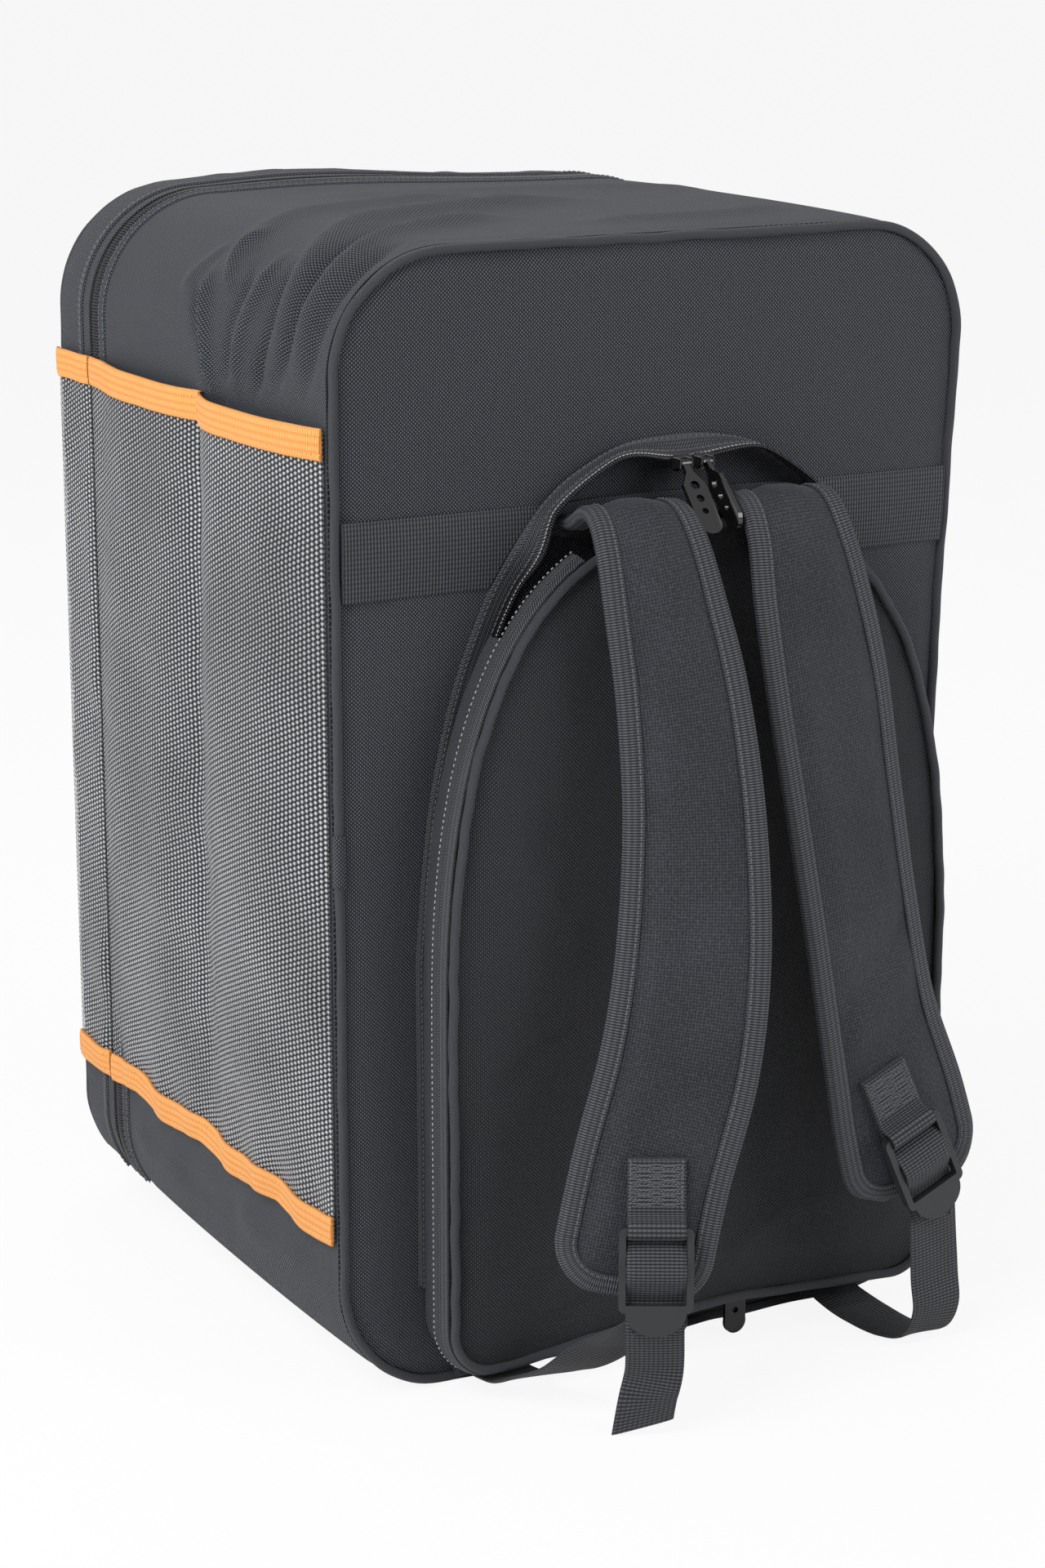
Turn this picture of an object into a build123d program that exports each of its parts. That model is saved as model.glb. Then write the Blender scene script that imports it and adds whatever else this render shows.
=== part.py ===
"""Box-shaped kit backpack with a zipped front lid, a mesh side pocket and an arched harness cover.

Millimetres. +Z is up and the bag stands on z = 0. +X runs across the bag, the harness hangs on the
-Y side and the lid is on the +Y side. The origin is the bottom centre of the box-shaped body.
"""
import os
from math import cos, radians, sin

from build123d import *

os.makedirs("parts", exist_ok=True)

# ---- driving dimensions -------------------------------------------------------------------------
body_width = 376.0
body_depth = 356.0
body_height = 600.0
corner_radius = 64.0
wall = 5.0                    # padded fabric of the shell and the lid gusset
piping_radius = 2.5
panel_recess = 1.0            # piping stands this far proud of the panel that it edges
panel_thickness = 9.0
clearance = 0.3               # between pieces of different bodies, and under soft pieces

board_thickness = 2.0
base_board_thickness = 3.0

lid_depth = 42.0              # from the zip channel to the front face
zip_channel = 20.0            # gap between the two fabric edges that the zip bridges
zip_tape_width = 16.0
zip_tape_thickness = 0.8
teeth_gap = 1.2               # room for the slider's post between the two rows of teeth
teeth_width = 1.6
teeth_height = 2.2
sill_height = 24.0            # the lid folds outwards along this line

webbing_wide = 40.0
webbing = 30.0
webbing_thickness = 1.8

band_bottom = 427.0
sleeve_bottom = 282.0
sleeve_length = 27.0
sleeve_wall = 0.6

arch_centre = 8.0             # the harness opening sits a little to the right of the bag's middle
arch_spring = 200.0           # height where the arch's straight sides end
arch_power = 2.3              # exponent of the arch's curve: 2 is an ellipse
arch_half_width = 152.0
arch_rise = 297.0
arch_tape_width = 14.0
arch_tape_bottom = 59.0
arch_tape_thickness = 1.2
arch_lift_angle = 86.0        # the tape stands out at this angle where the straps leave below it
arch_lift_full = 78.0         # half width over which it stands out fully
arch_lift_end = 106.0         # half width beyond which it lies flat
arch_droop_angle = 42.0       # and at this angle in the middle, between the straps
arch_droop_half = 46.0

cover_centre = 11.0
cover_half_width = 152.0
cover_top_below_arch = 39.0
cover_rise = arch_rise - cover_top_below_arch
cover_power = 2.6
cover_bottom = 21.0
cover_corner = 28.0
cover_depth = 33.0
cover_panel_thickness = 6.0
cover_gusset_thickness = 2.5
cover_mouth_half = 112.0      # half the width of the opening that the straps come out of
cover_slot_centre = 39.0      # a gap in the bottom gusset, where the third puller hangs out
cover_slot_width = 44.0

strap_root_depth = 6.0        # the straps start at the yoke's front face
strap_root_drop = 38.0         # from the arch's top to the straps' roots
strap_root_height = arch_spring + arch_rise - strap_root_drop
yoke_width = 150.0
yoke_height = 20.0
strap_thickness = 11.0
strap_width = 80.0
strap_top_width = 54.0
strap_binding = 9.0
strap_binding_thickness = 12.4

pocket_bottom = 88.0          # lower edge of the bottom binding
pocket_top_drop = 86.0         # from the top of the body to the pocket's upper edge
pocket_top = body_height - pocket_top_drop
pocket_binding = 16.0
pocket_binding_thickness = 2.4
mesh_thickness = 1.2

handle_bottom = 385.0
handle_length = 250.0
handle_gap = 8.5
handle_patch = 42.0
handle_centre = -30.0         # along Y

buckle_width = 38.0
buckle_length = 44.0
buckle_thickness = 5.0
buckle_rail = 3.6
buckle_bar = 4.0
buckle_tab = 12.0

puller_length = 43.0
puller_width = 13.0
puller_thickness = 2.4
puller_neck = 4.0
puller_shoulder, puller_full = 6.0, 13.0       # where the neck ends, and where the paddle is full width
puller_tip = 8.0                               # length of its rounded tip
puller_holes = [(14.0, 2.6), (22.0, 2.2), (29.5, 1.8)]

# ---- derived places -----------------------------------------------------------------------------
half_width = body_width / 2
half_depth = body_depth / 2
lid_back = half_depth - lid_depth
shell_front = lid_back - zip_channel
zip_centre = lid_back - zip_channel / 2
panel_face = -panel_recess + clearance         # depth at which things lie on the back panel
arch_tape_depth = panel_face + arch_tape_thickness / 2
arch_tape_straight = arch_spring - arch_tape_bottom
arch_tape_middle = arch_tape_bottom + arch_tape_straight / 2
panel_inset = 2 * piping_radius
shell_edge = half_depth - panel_inset


def facing(y):
    """XZ plane at a given y. Its normal points to -Y, the harness side."""
    return Plane.XZ.offset(-y)


def rear(depth):
    """y of a point that stands out from the rear face by depth."""
    return -half_depth - depth


def outline(inset=0.0, mode=Mode.ADD):
    """The body's rounded upright outline, drawn smaller by inset all round."""
    with Locations((0, body_height / 2)):
        RectangleRounded(body_width - 2 * inset, body_height - 2 * inset, corner_radius - inset, mode=mode)


def ring(back, front, outer, inner):
    """A band that follows the body's outline, from y = back to y = front."""
    with BuildPart() as band:
        with BuildSketch(facing(front)):
            outline(outer)
            outline(inner, mode=Mode.SUBTRACT)
        extrude(amount=front - back)
    return band.part


def keep_above(z):
    split(bisect_by=Plane.XY.offset(z), keep=Keep.TOP)


def keep_below(z):
    split(bisect_by=Plane.XY.offset(z), keep=Keep.BOTTOM)


def save(builder, name):
    builder.part.label = name
    export_step(builder.part, f"parts/{name}.step")


# ---- body: shell, boards and back panel ----------------------------------------------------------
with BuildPart() as body_sill:
    add(ring(shell_front, shell_edge, 0, wall))
    keep_below(sill_height)

with BuildPart() as body_shell:
    add(ring(-shell_edge, shell_front, 0, wall))
    add(body_sill.part)
save(body_shell, "body_shell")

# The base board fills the flat of the bottom, between the corner curves.
base_board_front = shell_edge - panel_thickness
with BuildPart() as base_board:
    base_board_back = -shell_edge + panel_thickness
    with BuildSketch(Plane.XY.offset(wall)):
        with Locations((0, (base_board_front + base_board_back) / 2)):
            RectangleRounded(body_width - 2 * corner_radius, base_board_front - base_board_back, 10)
    extrude(amount=base_board_thickness)
save(base_board, "base_board")

panel_back = -half_depth + panel_recess
with BuildPart() as back_panel:
    with BuildSketch(facing(panel_back + panel_thickness)):
        outline(panel_inset)
    extrude(amount=panel_thickness)
save(back_panel, "back_panel")

with BuildPart() as back_board:
    with BuildSketch(facing(panel_back + panel_thickness + board_thickness)):
        outline(panel_inset + 2 * board_thickness)
    extrude(amount=board_thickness)
save(back_board, "back_board")


def piping(y):
    """The bead of covered cord in the seam round a panel."""
    low, high = piping_radius, body_height - piping_radius
    side = half_width - piping_radius
    with BuildPart() as bead:
        with BuildLine(facing(y)) as path:
            FilletPolyline((-side, low), (-side, high), (side, high), (side, low),
                           radius=corner_radius - piping_radius, close=True)
        with BuildSketch(Plane(path.line @ 0, z_dir=path.line % 0)):
            Circle(piping_radius)
        sweep()
    return bead.part


with BuildPart() as back_piping:
    add(piping(-half_depth + piping_radius))
save(back_piping, "back_piping")

with BuildPart() as piping_sleeve:
    with BuildSketch(Plane.XY.offset(sleeve_bottom)):
        with Locations((-half_width + piping_radius, -half_depth + piping_radius)):
            Circle(piping_radius + sleeve_wall)
            Circle(piping_radius, mode=Mode.SUBTRACT)
        with Locations((-half_width + 2 * piping_radius + sleeve_wall, 0)):
            Rectangle(2 * piping_radius, body_depth + 2 * wall, mode=Mode.SUBTRACT)
        with Locations((0, -half_depth + 2 * piping_radius + sleeve_wall)):
            Rectangle(body_width + 2 * wall, 2 * piping_radius, mode=Mode.SUBTRACT)
    extrude(amount=sleeve_length)
save(piping_sleeve, "piping_sleeve")


# ---- the arch: its curve is shared by the zip tape and the harness cover --------------------------
tape_arch = (arch_centre, arch_half_width, arch_rise, arch_power)
cover_arch = (cover_centre, cover_half_width, cover_rise, cover_power)


def arch_point(arch, angle, inset=0.0):
    """Point of an arch's curve at an angle from 0 (right spring) to 180 (left spring), as (x, z)."""
    centre, half, rise, power = arch
    run, lift = cos(radians(angle)), sin(radians(angle))
    side = abs(run) ** (2 / power) * (1 if run >= 0 else -1)
    return centre + (half - inset) * side, arch_spring + (rise - inset) * max(lift, 0) ** (2 / power)


def arch_outline(arch, inset=0.0, mode=Mode.ADD):
    """Closed upright outline with straight sides, round bottom corners and the arch on top."""
    angles = [180, 165, 148, 130, 110, 90, 70, 50, 32, 15, 0]
    bottom, corner = cover_bottom + inset, cover_corner - inset
    with BuildSketch(mode=Mode.PRIVATE) as shape:
        with BuildLine():
            left, right = arch_point(arch, 180, inset)[0], arch_point(arch, 0, inset)[0]
            Spline(*[arch_point(arch, angle, inset) for angle in angles], tangents=((0, 1), (0, -1)))
            Polyline((right, arch_spring), (right, bottom), (left, bottom), (left, arch_spring))
        make_face()
        fillet(shape.vertices().group_by(Axis.Y)[0], corner)
    add(shape.sketch, mode=mode)


with BuildPart() as back_band:
    with BuildSketch(facing(panel_back - clearance)):
        with Locations((0, band_bottom + webbing_wide / 2)):
            Rectangle(body_width - 2 * panel_inset - 2, webbing_wide)
        arch_outline(tape_arch, -1, mode=Mode.SUBTRACT)
    extrude(amount=webbing_thickness)
save(back_band, "back_band")


# ---- strips: flat lengths of webbing, tape and padding that follow a path through space ------------
def strip(stations, thickness, width_of=None, offset_of=None, raised=0.0):
    """Loft a strip through stations of (centre, direction across, width), square to the path.

    width_of and offset_of give the strip's own width and its place across from the strap's width,
    and raised moves it out from the path.
    """
    with BuildPart() as length:
        for index, (centre, across, width) in enumerate(stations):
            before = stations[max(index - 1, 0)][0]
            after = stations[min(index + 1, len(stations) - 1)][0]
            tangent = (after - before).normalized()
            across = (across - tangent * across.dot(tangent)).normalized()
            with BuildSketch(Plane(centre, x_dir=across, z_dir=tangent)):
                with Locations((offset_of(width) if offset_of else 0, raised)):
                    Rectangle(width_of(width) if width_of else width, thickness)
        loft(ruled=True)
    return length.part


def hanging(points):
    """Stations of a strap from (x, depth, z, turn, width): turn faces the strap towards -X."""
    return [(Vector(x, rear(depth), z), Vector(cos(radians(turn)), -sin(radians(turn)), 0), width)
            for x, depth, z, turn, width in points]


# ---- arch zip on the back panel ------------------------------------------------------------------
def arch_stations(inward, width, angles):
    """Stations along the arch tape: it lies flat at the sides and stands out over the straps."""
    stations = []
    for angle in angles:
        x, z = arch_point(tape_arch, angle)
        x_next, z_next = arch_point(tape_arch, min(angle + 1, 180))
        x_last, z_last = arch_point(tape_arch, max(angle - 1, 0))
        along = Vector(x_next - x_last, 0, z_next - z_last).normalized()
        inside = Vector(0, 1, 0).cross(along)
        if inside.dot(Vector(arch_centre - x, 0, arch_spring - z)) < 0:
            inside = -inside
        reach = abs(x - arch_centre)
        share = min(max((arch_lift_end - reach) / (arch_lift_end - arch_lift_full), 0), 1)
        droop = max(1 - reach / arch_droop_half, 0)
        angle_out = arch_lift_angle - (arch_lift_angle - arch_droop_angle) * droop * droop * (3 - 2 * droop)
        lift = radians(angle_out) * share * share * (3 - 2 * share)
        across = inside * cos(lift) + Vector(0, -1, 0) * sin(lift)
        foot = Vector(x, rear(arch_tape_depth), z)
        stations.append((foot + across * inward, across, width))
    return stations


arch_angles = range(2, 180, 6)
with BuildPart() as arch_zip_tape:
    add(strip(arch_stations(arch_tape_width / 2, arch_tape_width, arch_angles), arch_tape_thickness))
    for side in (-1, 1):
        with BuildSketch(facing(rear(panel_face))):
            with Locations((arch_centre + side * (arch_half_width - arch_tape_width / 2), arch_tape_middle)):
                Rectangle(arch_tape_width, arch_tape_straight)
        extrude(amount=arch_tape_thickness)
save(arch_zip_tape, "arch_zip_tape")


teeth_seat = arch_tape_width + 2 * clearance + teeth_width / 2
with BuildPart() as arch_zip_teeth:
    add(strip(arch_stations(teeth_seat, teeth_width, arch_angles), arch_tape_thickness))
    for side in (-1, 1):
        with BuildSketch(facing(rear(panel_face))):
            with Locations((arch_centre + side * (arch_half_width - teeth_seat), arch_tape_middle)):
                Rectangle(teeth_width, arch_tape_straight)
        extrude(amount=arch_tape_thickness)
save(arch_zip_teeth, "arch_zip_teeth")


# ---- harness cover: a shallow padded lid that the straps hang out of ------------------------------
cover_front = cover_depth - panel_recess
cover_back = cover_front - cover_panel_thickness
cover_foot = panel_face + arch_tape_thickness + clearance
cover_seam = cover_depth - 2 * piping_radius

with BuildPart() as cover_panel:
    with BuildSketch(facing(rear(cover_back))):
        arch_outline(cover_arch, 2 * piping_radius + clearance)
    extrude(amount=cover_panel_thickness)
save(cover_panel, "cover_panel")

with BuildPart() as cover_gusset:
    with BuildSketch(facing(rear(cover_foot))):
        arch_outline(cover_arch)
        arch_outline(cover_arch, cover_gusset_thickness, mode=Mode.SUBTRACT)
        with Locations((cover_centre, arch_spring + cover_rise)):
            Rectangle(2 * cover_mouth_half, cover_rise, mode=Mode.SUBTRACT)
        with Locations((cover_slot_centre, cover_bottom)):
            Rectangle(cover_slot_width, 2 * cover_corner, mode=Mode.SUBTRACT)
    extrude(amount=cover_seam - cover_foot)
save(cover_gusset, "cover_gusset")

with BuildPart() as cover_piping:
    with BuildSketch(facing(rear(cover_depth - piping_radius)), mode=Mode.PRIVATE) as edge:
        arch_outline(cover_arch, piping_radius)
    seam_line = edge.sketch.face().outer_wire()
    with BuildSketch(Plane(seam_line @ 0, z_dir=seam_line % 0)):
        Circle(piping_radius)
    sweep(path=seam_line, is_frenet=True)
save(cover_piping, "cover_piping")

# The padded block that both straps are sewn to, behind the cover's mouth.
yoke_front = strap_root_depth - 2 * clearance
with BuildPart() as strap_yoke:
    with BuildSketch(facing(rear(panel_face))):
        with Locations((arch_centre - 2, strap_root_height)):
            RectangleRounded(yoke_width, yoke_height, 8)
    extrude(amount=yoke_front - panel_face)
save(strap_yoke, "strap_yoke")


# ---- shoulder straps -----------------------------------------------------------------------------
# x, depth from the rear face, z, turn and width, from the yoke down to the padded end.
def smooth(points, steps=4):
    """Points on a smooth curve through the given ones, with steps spans between each two."""
    rows = []
    for index in range(len(points) - 1):
        before, start = points[max(index - 1, 0)], points[index]
        end, after = points[index + 1], points[min(index + 2, len(points) - 1)]
        for step in range(steps):
            t = step / steps
            weights = (-t + 2 * t * t - t ** 3, 2 - 5 * t * t + 3 * t ** 3, t + 4 * t * t - 3 * t ** 3, t ** 3 - t * t)
            rows.append(tuple(sum(w * p[k] for w, p in zip(weights, (before, start, end, after))) / 2
                              for k in range(len(start))))
    return rows + [tuple(points[-1])]


root = (strap_root_depth, strap_root_height)
strap_left_line = smooth([
    (-38, *root, 0, 53), (-38, 16, 460, 0, 54), (-38, 30, 467, 2, 55), (-38, 43, 464, 5, 57),
    (-37, 53, 449, 9, 59), (-34, 61, 420, 14, 62), (-29, 70, 375, 22, 66), (-27, 79, 315, 27, 71),
    (-32, 88, 250, 28, 77), (-43, 94, 195, 28, 80), (-62, 98, 140, 28, 80), (-75, 100, 90, 28, 80),
    (-78, 100, 77, 28, 60),
])
strap_right_line = smooth([
    (50, *root, 0, 53), (50, 16, 460, 0, 54), (50, 30, 467, 0, 56), (50, 43, 464, -1, 59),
    (51, 52, 449, -3, 63), (55, 57, 420, -5, 71), (64, 61, 370, -7, 78), (72, 65, 315, -9, 78),
    (82, 69, 250, -10, 78), (92, 73, 190, -9, 80), (104, 77, 140, -2, 84), (112, 80, 105, 0, 84),
    (114, 80, 92, 0, 62),
])


def pad_width(width):
    return width - 2 * strap_binding - clearance


def binding_offset(width):
    return (width - strap_binding) / 2


# The webbing tab under the strap's end: a patch sewn to the pad, and the loop round the buckle's bar.
tab_start, tab_end = 35.0, 3.8      # distances above the buckle's top bar
loop_hole = 6.4                     # lets the bar turn inside the loop
tab_thickness = 2 * webbing_thickness
buckle_seat = 3.5               # from the tab's face to the middle of the buckle
buckle_raise = strap_thickness / 2 + tab_thickness + clearance + buckle_seat


def along(line, z):
    """The strap's (x, depth, turn) at a height, between its two nearest stations."""
    for upper, lower in zip(line, line[1:]):
        if upper[2] >= z >= lower[2]:
            share = (upper[2] - z) / (upper[2] - lower[2])
            return [upper[k] + (lower[k] - upper[k]) * share for k in (0, 1, 3)]
    raise ValueError(f"no stretch of the strap at z = {z}")


def beside(line, z, x):
    """(x, depth, turn) on the strap's middle surface at a height, at x instead of on its centre line."""
    x_middle, depth, turn = along(line, z)
    return x, depth + (x - x_middle) * sin(radians(turn)) / cos(radians(turn)), turn


def buckle_plane(line, z, x, lean):
    """Plane of a buckle's face: its origin is the middle of the top bar at x, and +Y points up.

    lean turns the buckle's foot to +X in its own plane.
    """
    _, depth, turn = beside(line, z, x)
    _, depth_below, _ = beside(line, z - buckle_tab, x)
    across = Vector(cos(radians(turn)), -sin(radians(turn)), 0)
    upright = Vector(0, depth_below - depth, buckle_tab).normalized()
    out = across.cross(upright).normalized()
    across = (upright.cross(out) * cos(radians(lean)) + upright * sin(radians(lean))).normalized()
    return Plane(Vector(x, rear(depth), z) + out * buckle_raise, x_dir=across, z_dir=out)


def make_buckle(plane):
    """Ladder-lock buckle: a frame with three bars, and a rounded tab to lift it by."""
    half_bar = buckle_bar / 2
    middle = half_bar - buckle_length / 2
    window = (buckle_length - 3 * buckle_bar) / 2
    with BuildPart() as buckle:
        with BuildSketch(plane.offset(-buckle_thickness / 2)):
            with Locations((0, middle)):
                RectangleRounded(buckle_width, buckle_length, buckle_rail)
            with Locations((0, middle + (window + buckle_bar) / 2), (0, middle - (window + buckle_bar) / 2)):
                RectangleRounded(buckle_width - 2 * buckle_rail, window, 1, mode=Mode.SUBTRACT)
        extrude(amount=buckle_thickness)
        with BuildSketch(plane):
            with Locations((0, half_bar - buckle_length)):
                Ellipse(buckle_width / 2 - buckle_rail, buckle_tab)
            with Locations((0, half_bar - buckle_length + buckle_bar / 2 + buckle_tab / 2)):
                Rectangle(buckle_width, buckle_tab, mode=Mode.SUBTRACT)
        extrude(amount=buckle_thickness / 2)
    return buckle.part


def make_tab(line, z, x, lean):
    """Stations of the webbing tab, from its sewn top down to the buckle's bar."""
    points = []
    for share in (0, 0.2, 0.4, 0.6, 0.8, 1):
        rise = tab_start + (tab_end - tab_start) * share
        x_here, depth, turn = beside(line, z + rise, x - rise * sin(radians(lean)))
        points.append((x_here, depth, z + rise, turn, webbing))
    return hanging(points)


# The tail passes over the buckle's middle bar and behind its last one; the lower webbing loops behind.
webbing_pass = [(6.5, -2.2), (10, 0.6), (16.5, 4.0), (23.5, 4.0), (30, 0), (36.5, -4.0), (44, -4.0), (54, -4.0)]


def from_buckle(plane, points):
    """Stations of webbing at a buckle, from (distance down from the top bar, height over its middle)."""
    return [(plane.from_local_coords(Vector(0, -down, out)), plane.x_dir, webbing) for down, out in points]


def hanging_on(stations, points):
    """Carry webbing on from a buckle's stations through (x, depth, z, turn), in a smooth curve."""
    last, across, _ = stations[-1]
    start = (last.X, -half_depth - last.Y, last.Z, -across.Y * 57)
    rows = smooth([start] + points, 3)[1:]
    return stations + hanging([(*row, webbing) for row in rows])


# Heights of the top bars, and the hanging ends of webbing as (x, depth, z, turn).
buckle_left_height, buckle_right_height = 114.0, 131.0
anchor_height, anchor_front = 11.5, 7.5
anchor_margin, anchor_breadth = 3.0, 12.0
anchor_end = anchor_front + 3 * clearance
lower_start = [(45, -5.9), (50, -7.2)]
tail_left = [(-66, 110, 38, 30), (-68, 107, 21, 33), (-69, 104, 4, 36)]
tail_right = []
lower_left = [(-77, 85, 45, 24), (-91, 62, 26, 14), (-100, 36, 13, 6), (-106, 20, 11, 0),
              (-106, anchor_end, anchor_height, 0)]
lower_right = [(126, 84, 44, 0), (128, 84, 22, 0), (125, 77, 7, 0), (119, 62, 3, 0), (113, 38, 5, 0),
               (109, 20, 9, 0), (109, anchor_end, anchor_height, 0)]

sides = {
    "left": (strap_left_line, (buckle_left_height, -62, -5), tail_left, lower_left),
    "right": (strap_right_line, (buckle_right_height, 102, 22), tail_right, lower_right),
}
for side, (line, seat, tail, lower) in sides.items():
    plane = buckle_plane(line, *seat)
    with BuildPart() as strap_pad:
        add(strip(hanging(line), strap_thickness, width_of=pad_width))
    save(strap_pad, f"strap_{side}_pad")

    with BuildPart() as strap_edges:
        for edge in (-1, 1):
            add(strip(hanging(line), strap_binding_thickness, width_of=lambda width: strap_binding,
                      offset_of=lambda width: edge * binding_offset(width)))
    save(strap_edges, f"strap_{side}_binding")

    with BuildPart() as strap_tab:
        add(strip(make_tab(line, *seat), tab_thickness,
                  raised=strap_thickness / 2 + tab_thickness / 2 + clearance))
        with BuildSketch(Plane(plane.origin - plane.x_dir * webbing / 2, x_dir=plane.y_dir, z_dir=plane.x_dir)):
            RectangleRounded(loop_hole + 2 * webbing_thickness, loop_hole + 2 * webbing_thickness, 3)
            Rectangle(loop_hole, loop_hole, mode=Mode.SUBTRACT)
        extrude(amount=webbing)
    save(strap_tab, f"strap_{side}_tab")

    with BuildPart() as buckle:
        add(make_buckle(plane))
    save(buckle, f"buckle_{side}")

    with BuildPart() as buckle_webbing:
        stations = from_buckle(plane, webbing_pass)
        add(strip(hanging_on(stations, tail) if tail else stations, webbing_thickness))
    save(buckle_webbing, f"buckle_{side}_webbing")

    with BuildPart() as lower_webbing:
        add(strip(hanging_on(from_buckle(plane, lower_start), lower), webbing_thickness))
    save(lower_webbing, f"lower_webbing_{side}")

with BuildPart() as webbing_anchors:
    for x in (lower_left[-1][0], lower_right[-1][0]):
        with BuildSketch(facing(rear(panel_face))):
            with Locations((x, anchor_height)):
                Rectangle(webbing + 2 * anchor_margin, anchor_breadth)
        extrude(amount=anchor_front - panel_face)
save(webbing_anchors, "webbing_anchors")


# ---- mesh pocket on the left side ----------------------------------------------------------------
# How far the mesh stands off the side along its depth, as (y, offset), with a pleat in its middle.
pocket_seat = zip_tape_thickness + clearance
pocket_rear = -shell_edge + 1
pocket_front = zip_centre - teeth_gap / 2
pocket_bulge = [(pocket_rear, 0), (-150, 7), (-108, 13), (-62, 13), (-24, 3), (20, 8), (80, 8), (pocket_front, 0)]

pocket_full_rise = 82.0         # from the pocket's lower edge to where it is nearly full
pocket_low_bulge, pocket_middle = pocket_bottom + pocket_full_rise, (pocket_bottom + pocket_top) / 2


def bulge_share(z):
    """How much of the full bulge the mesh has at a height: little at its sewn bottom."""
    rows = [(pocket_bottom, 0.1), (pocket_low_bulge, 0.75), (pocket_middle, 1.0), (pocket_top, 0.85)]
    for (low, start), (high, end) in zip(rows, rows[1:]):
        if z <= high:
            return start + (end - start) * (z - low) / (high - low)
    return rows[-1][1]


def pocket_layer(levels, inner, thickness):
    """A skin that follows the mesh, from inner outwards, lofted up through the levels."""
    with BuildPart() as layer:
        for z in levels:
            share = bulge_share(z)
            near = [(-half_width - inner - share * out, y) for y, out in pocket_bulge]
            far = [(x - thickness, y) for x, y in near]
            with BuildSketch(Plane.XY.offset(z)):
                with BuildLine():
                    Spline(*near)
                    Spline(*far)
                    Line(near[0], far[0])
                    Line(near[-1], far[-1])
                make_face()
        loft(ruled=True)
    return layer.part


binding_top = pocket_bottom + pocket_binding
binding_low = pocket_top - pocket_binding
with BuildPart() as mesh_pocket:
    levels = (pocket_bottom, binding_top, pocket_low_bulge, pocket_middle, binding_low, pocket_top)
    add(pocket_layer(levels, pocket_seat, mesh_thickness))
save(mesh_pocket, "mesh_pocket")

binding_seat = pocket_seat + mesh_thickness + clearance / 3
with BuildPart() as pocket_bottom_binding:
    add(pocket_layer((pocket_bottom, binding_top), binding_seat, pocket_binding_thickness / 2))
save(pocket_bottom_binding, "pocket_bottom_binding")
with BuildPart() as pocket_top_binding:
    add(pocket_layer((binding_low, pocket_top), binding_seat, pocket_binding_thickness / 2))
save(pocket_top_binding, "pocket_top_binding")


with BuildPart() as lid_mesh:
    back = zip_centre + teeth_gap / 2
    with BuildSketch(Plane.XY.offset(pocket_bottom)):
        with Locations((-half_width - pocket_seat - mesh_thickness / 2, (back + shell_edge) / 2)):
            Rectangle(mesh_thickness, shell_edge - back)
    extrude(amount=pocket_top - pocket_bottom)
save(lid_mesh, "lid_mesh")

with BuildPart() as lid_mesh_bindings:
    for low in (pocket_bottom, binding_low):
        with BuildSketch(Plane.XY.offset(low)):
            with Locations((-half_width - binding_seat - pocket_binding_thickness / 4, (back + shell_edge) / 2)):
                Rectangle(pocket_binding_thickness / 2, shell_edge - back)
        extrude(amount=pocket_binding)
save(lid_mesh_bindings, "lid_mesh_bindings")


# ---- carry handle on the right side --------------------------------------------------------------
handle_rise = handle_gap + webbing_thickness / 2
flat = webbing_thickness / 2 + clearance
half_handle = handle_length / 2
handle_line = [(-half_handle, flat), (-half_handle + handle_patch, flat), (-0.3 * handle_length, 0.85 * handle_rise),
               (0, handle_rise), (0.3 * handle_length, 0.85 * handle_rise), (half_handle - handle_patch, flat),
               (half_handle, flat)]
with BuildPart() as side_handle:
    stations = [(Vector(half_width + out, handle_centre + run, handle_bottom + webbing_wide / 2), Vector(0, 0, 1),
                 webbing_wide) for run, out in handle_line]
    add(strip(stations, webbing_thickness))
save(side_handle, "side_handle")

with BuildPart() as side_handle_patches:
    for end in (-1, 1):
        with BuildSketch(Plane.YZ.offset(half_width + 2 * clearance + webbing_thickness)):
            with Locations((handle_centre + end * (half_handle - handle_patch / 2 + 2),
                            handle_bottom + webbing_wide / 2)):
                Rectangle(handle_patch - 8, webbing_wide)
        extrude(amount=webbing_thickness)
save(side_handle_patches, "side_handle_patches")


# ---- main zip and lid ----------------------------------------------------------------------------
def zip_ring(back, front, inner):
    """Part of the main zip: a band round the sides and top, above the line where the lid folds."""
    with BuildPart() as band:
        add(ring(back, front, -zip_tape_thickness, inner))
        keep_above(sill_height + clearance)
    return band.part


teeth_back = zip_centre - teeth_gap / 2 - teeth_width
teeth_front = zip_centre + teeth_gap / 2 + teeth_width
teeth_inner = teeth_height - zip_tape_thickness

with BuildPart() as main_zip_tape:
    add(zip_ring(teeth_back - zip_tape_width, teeth_back, 0))
save(main_zip_tape, "main_zip_tape")
with BuildPart() as main_zip_teeth:
    add(zip_ring(teeth_back, teeth_back + teeth_width, teeth_inner))
save(main_zip_teeth, "main_zip_teeth")
with BuildPart() as lid_zip_tape:
    add(zip_ring(teeth_front, teeth_front + zip_tape_width, 0))
save(lid_zip_tape, "lid_zip_tape")
with BuildPart() as lid_zip_teeth:
    add(zip_ring(teeth_front - teeth_width, teeth_front, teeth_inner))
save(lid_zip_teeth, "lid_zip_teeth")

with BuildPart() as lid_gusset:
    add(ring(lid_back, shell_edge, 0, wall))
    keep_above(sill_height + clearance)
save(lid_gusset, "lid_gusset")

front_face = half_depth - panel_recess
with BuildPart() as front_plate:
    with BuildSketch(facing(front_face)):
        outline(panel_inset)
    extrude(amount=panel_thickness)

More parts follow.
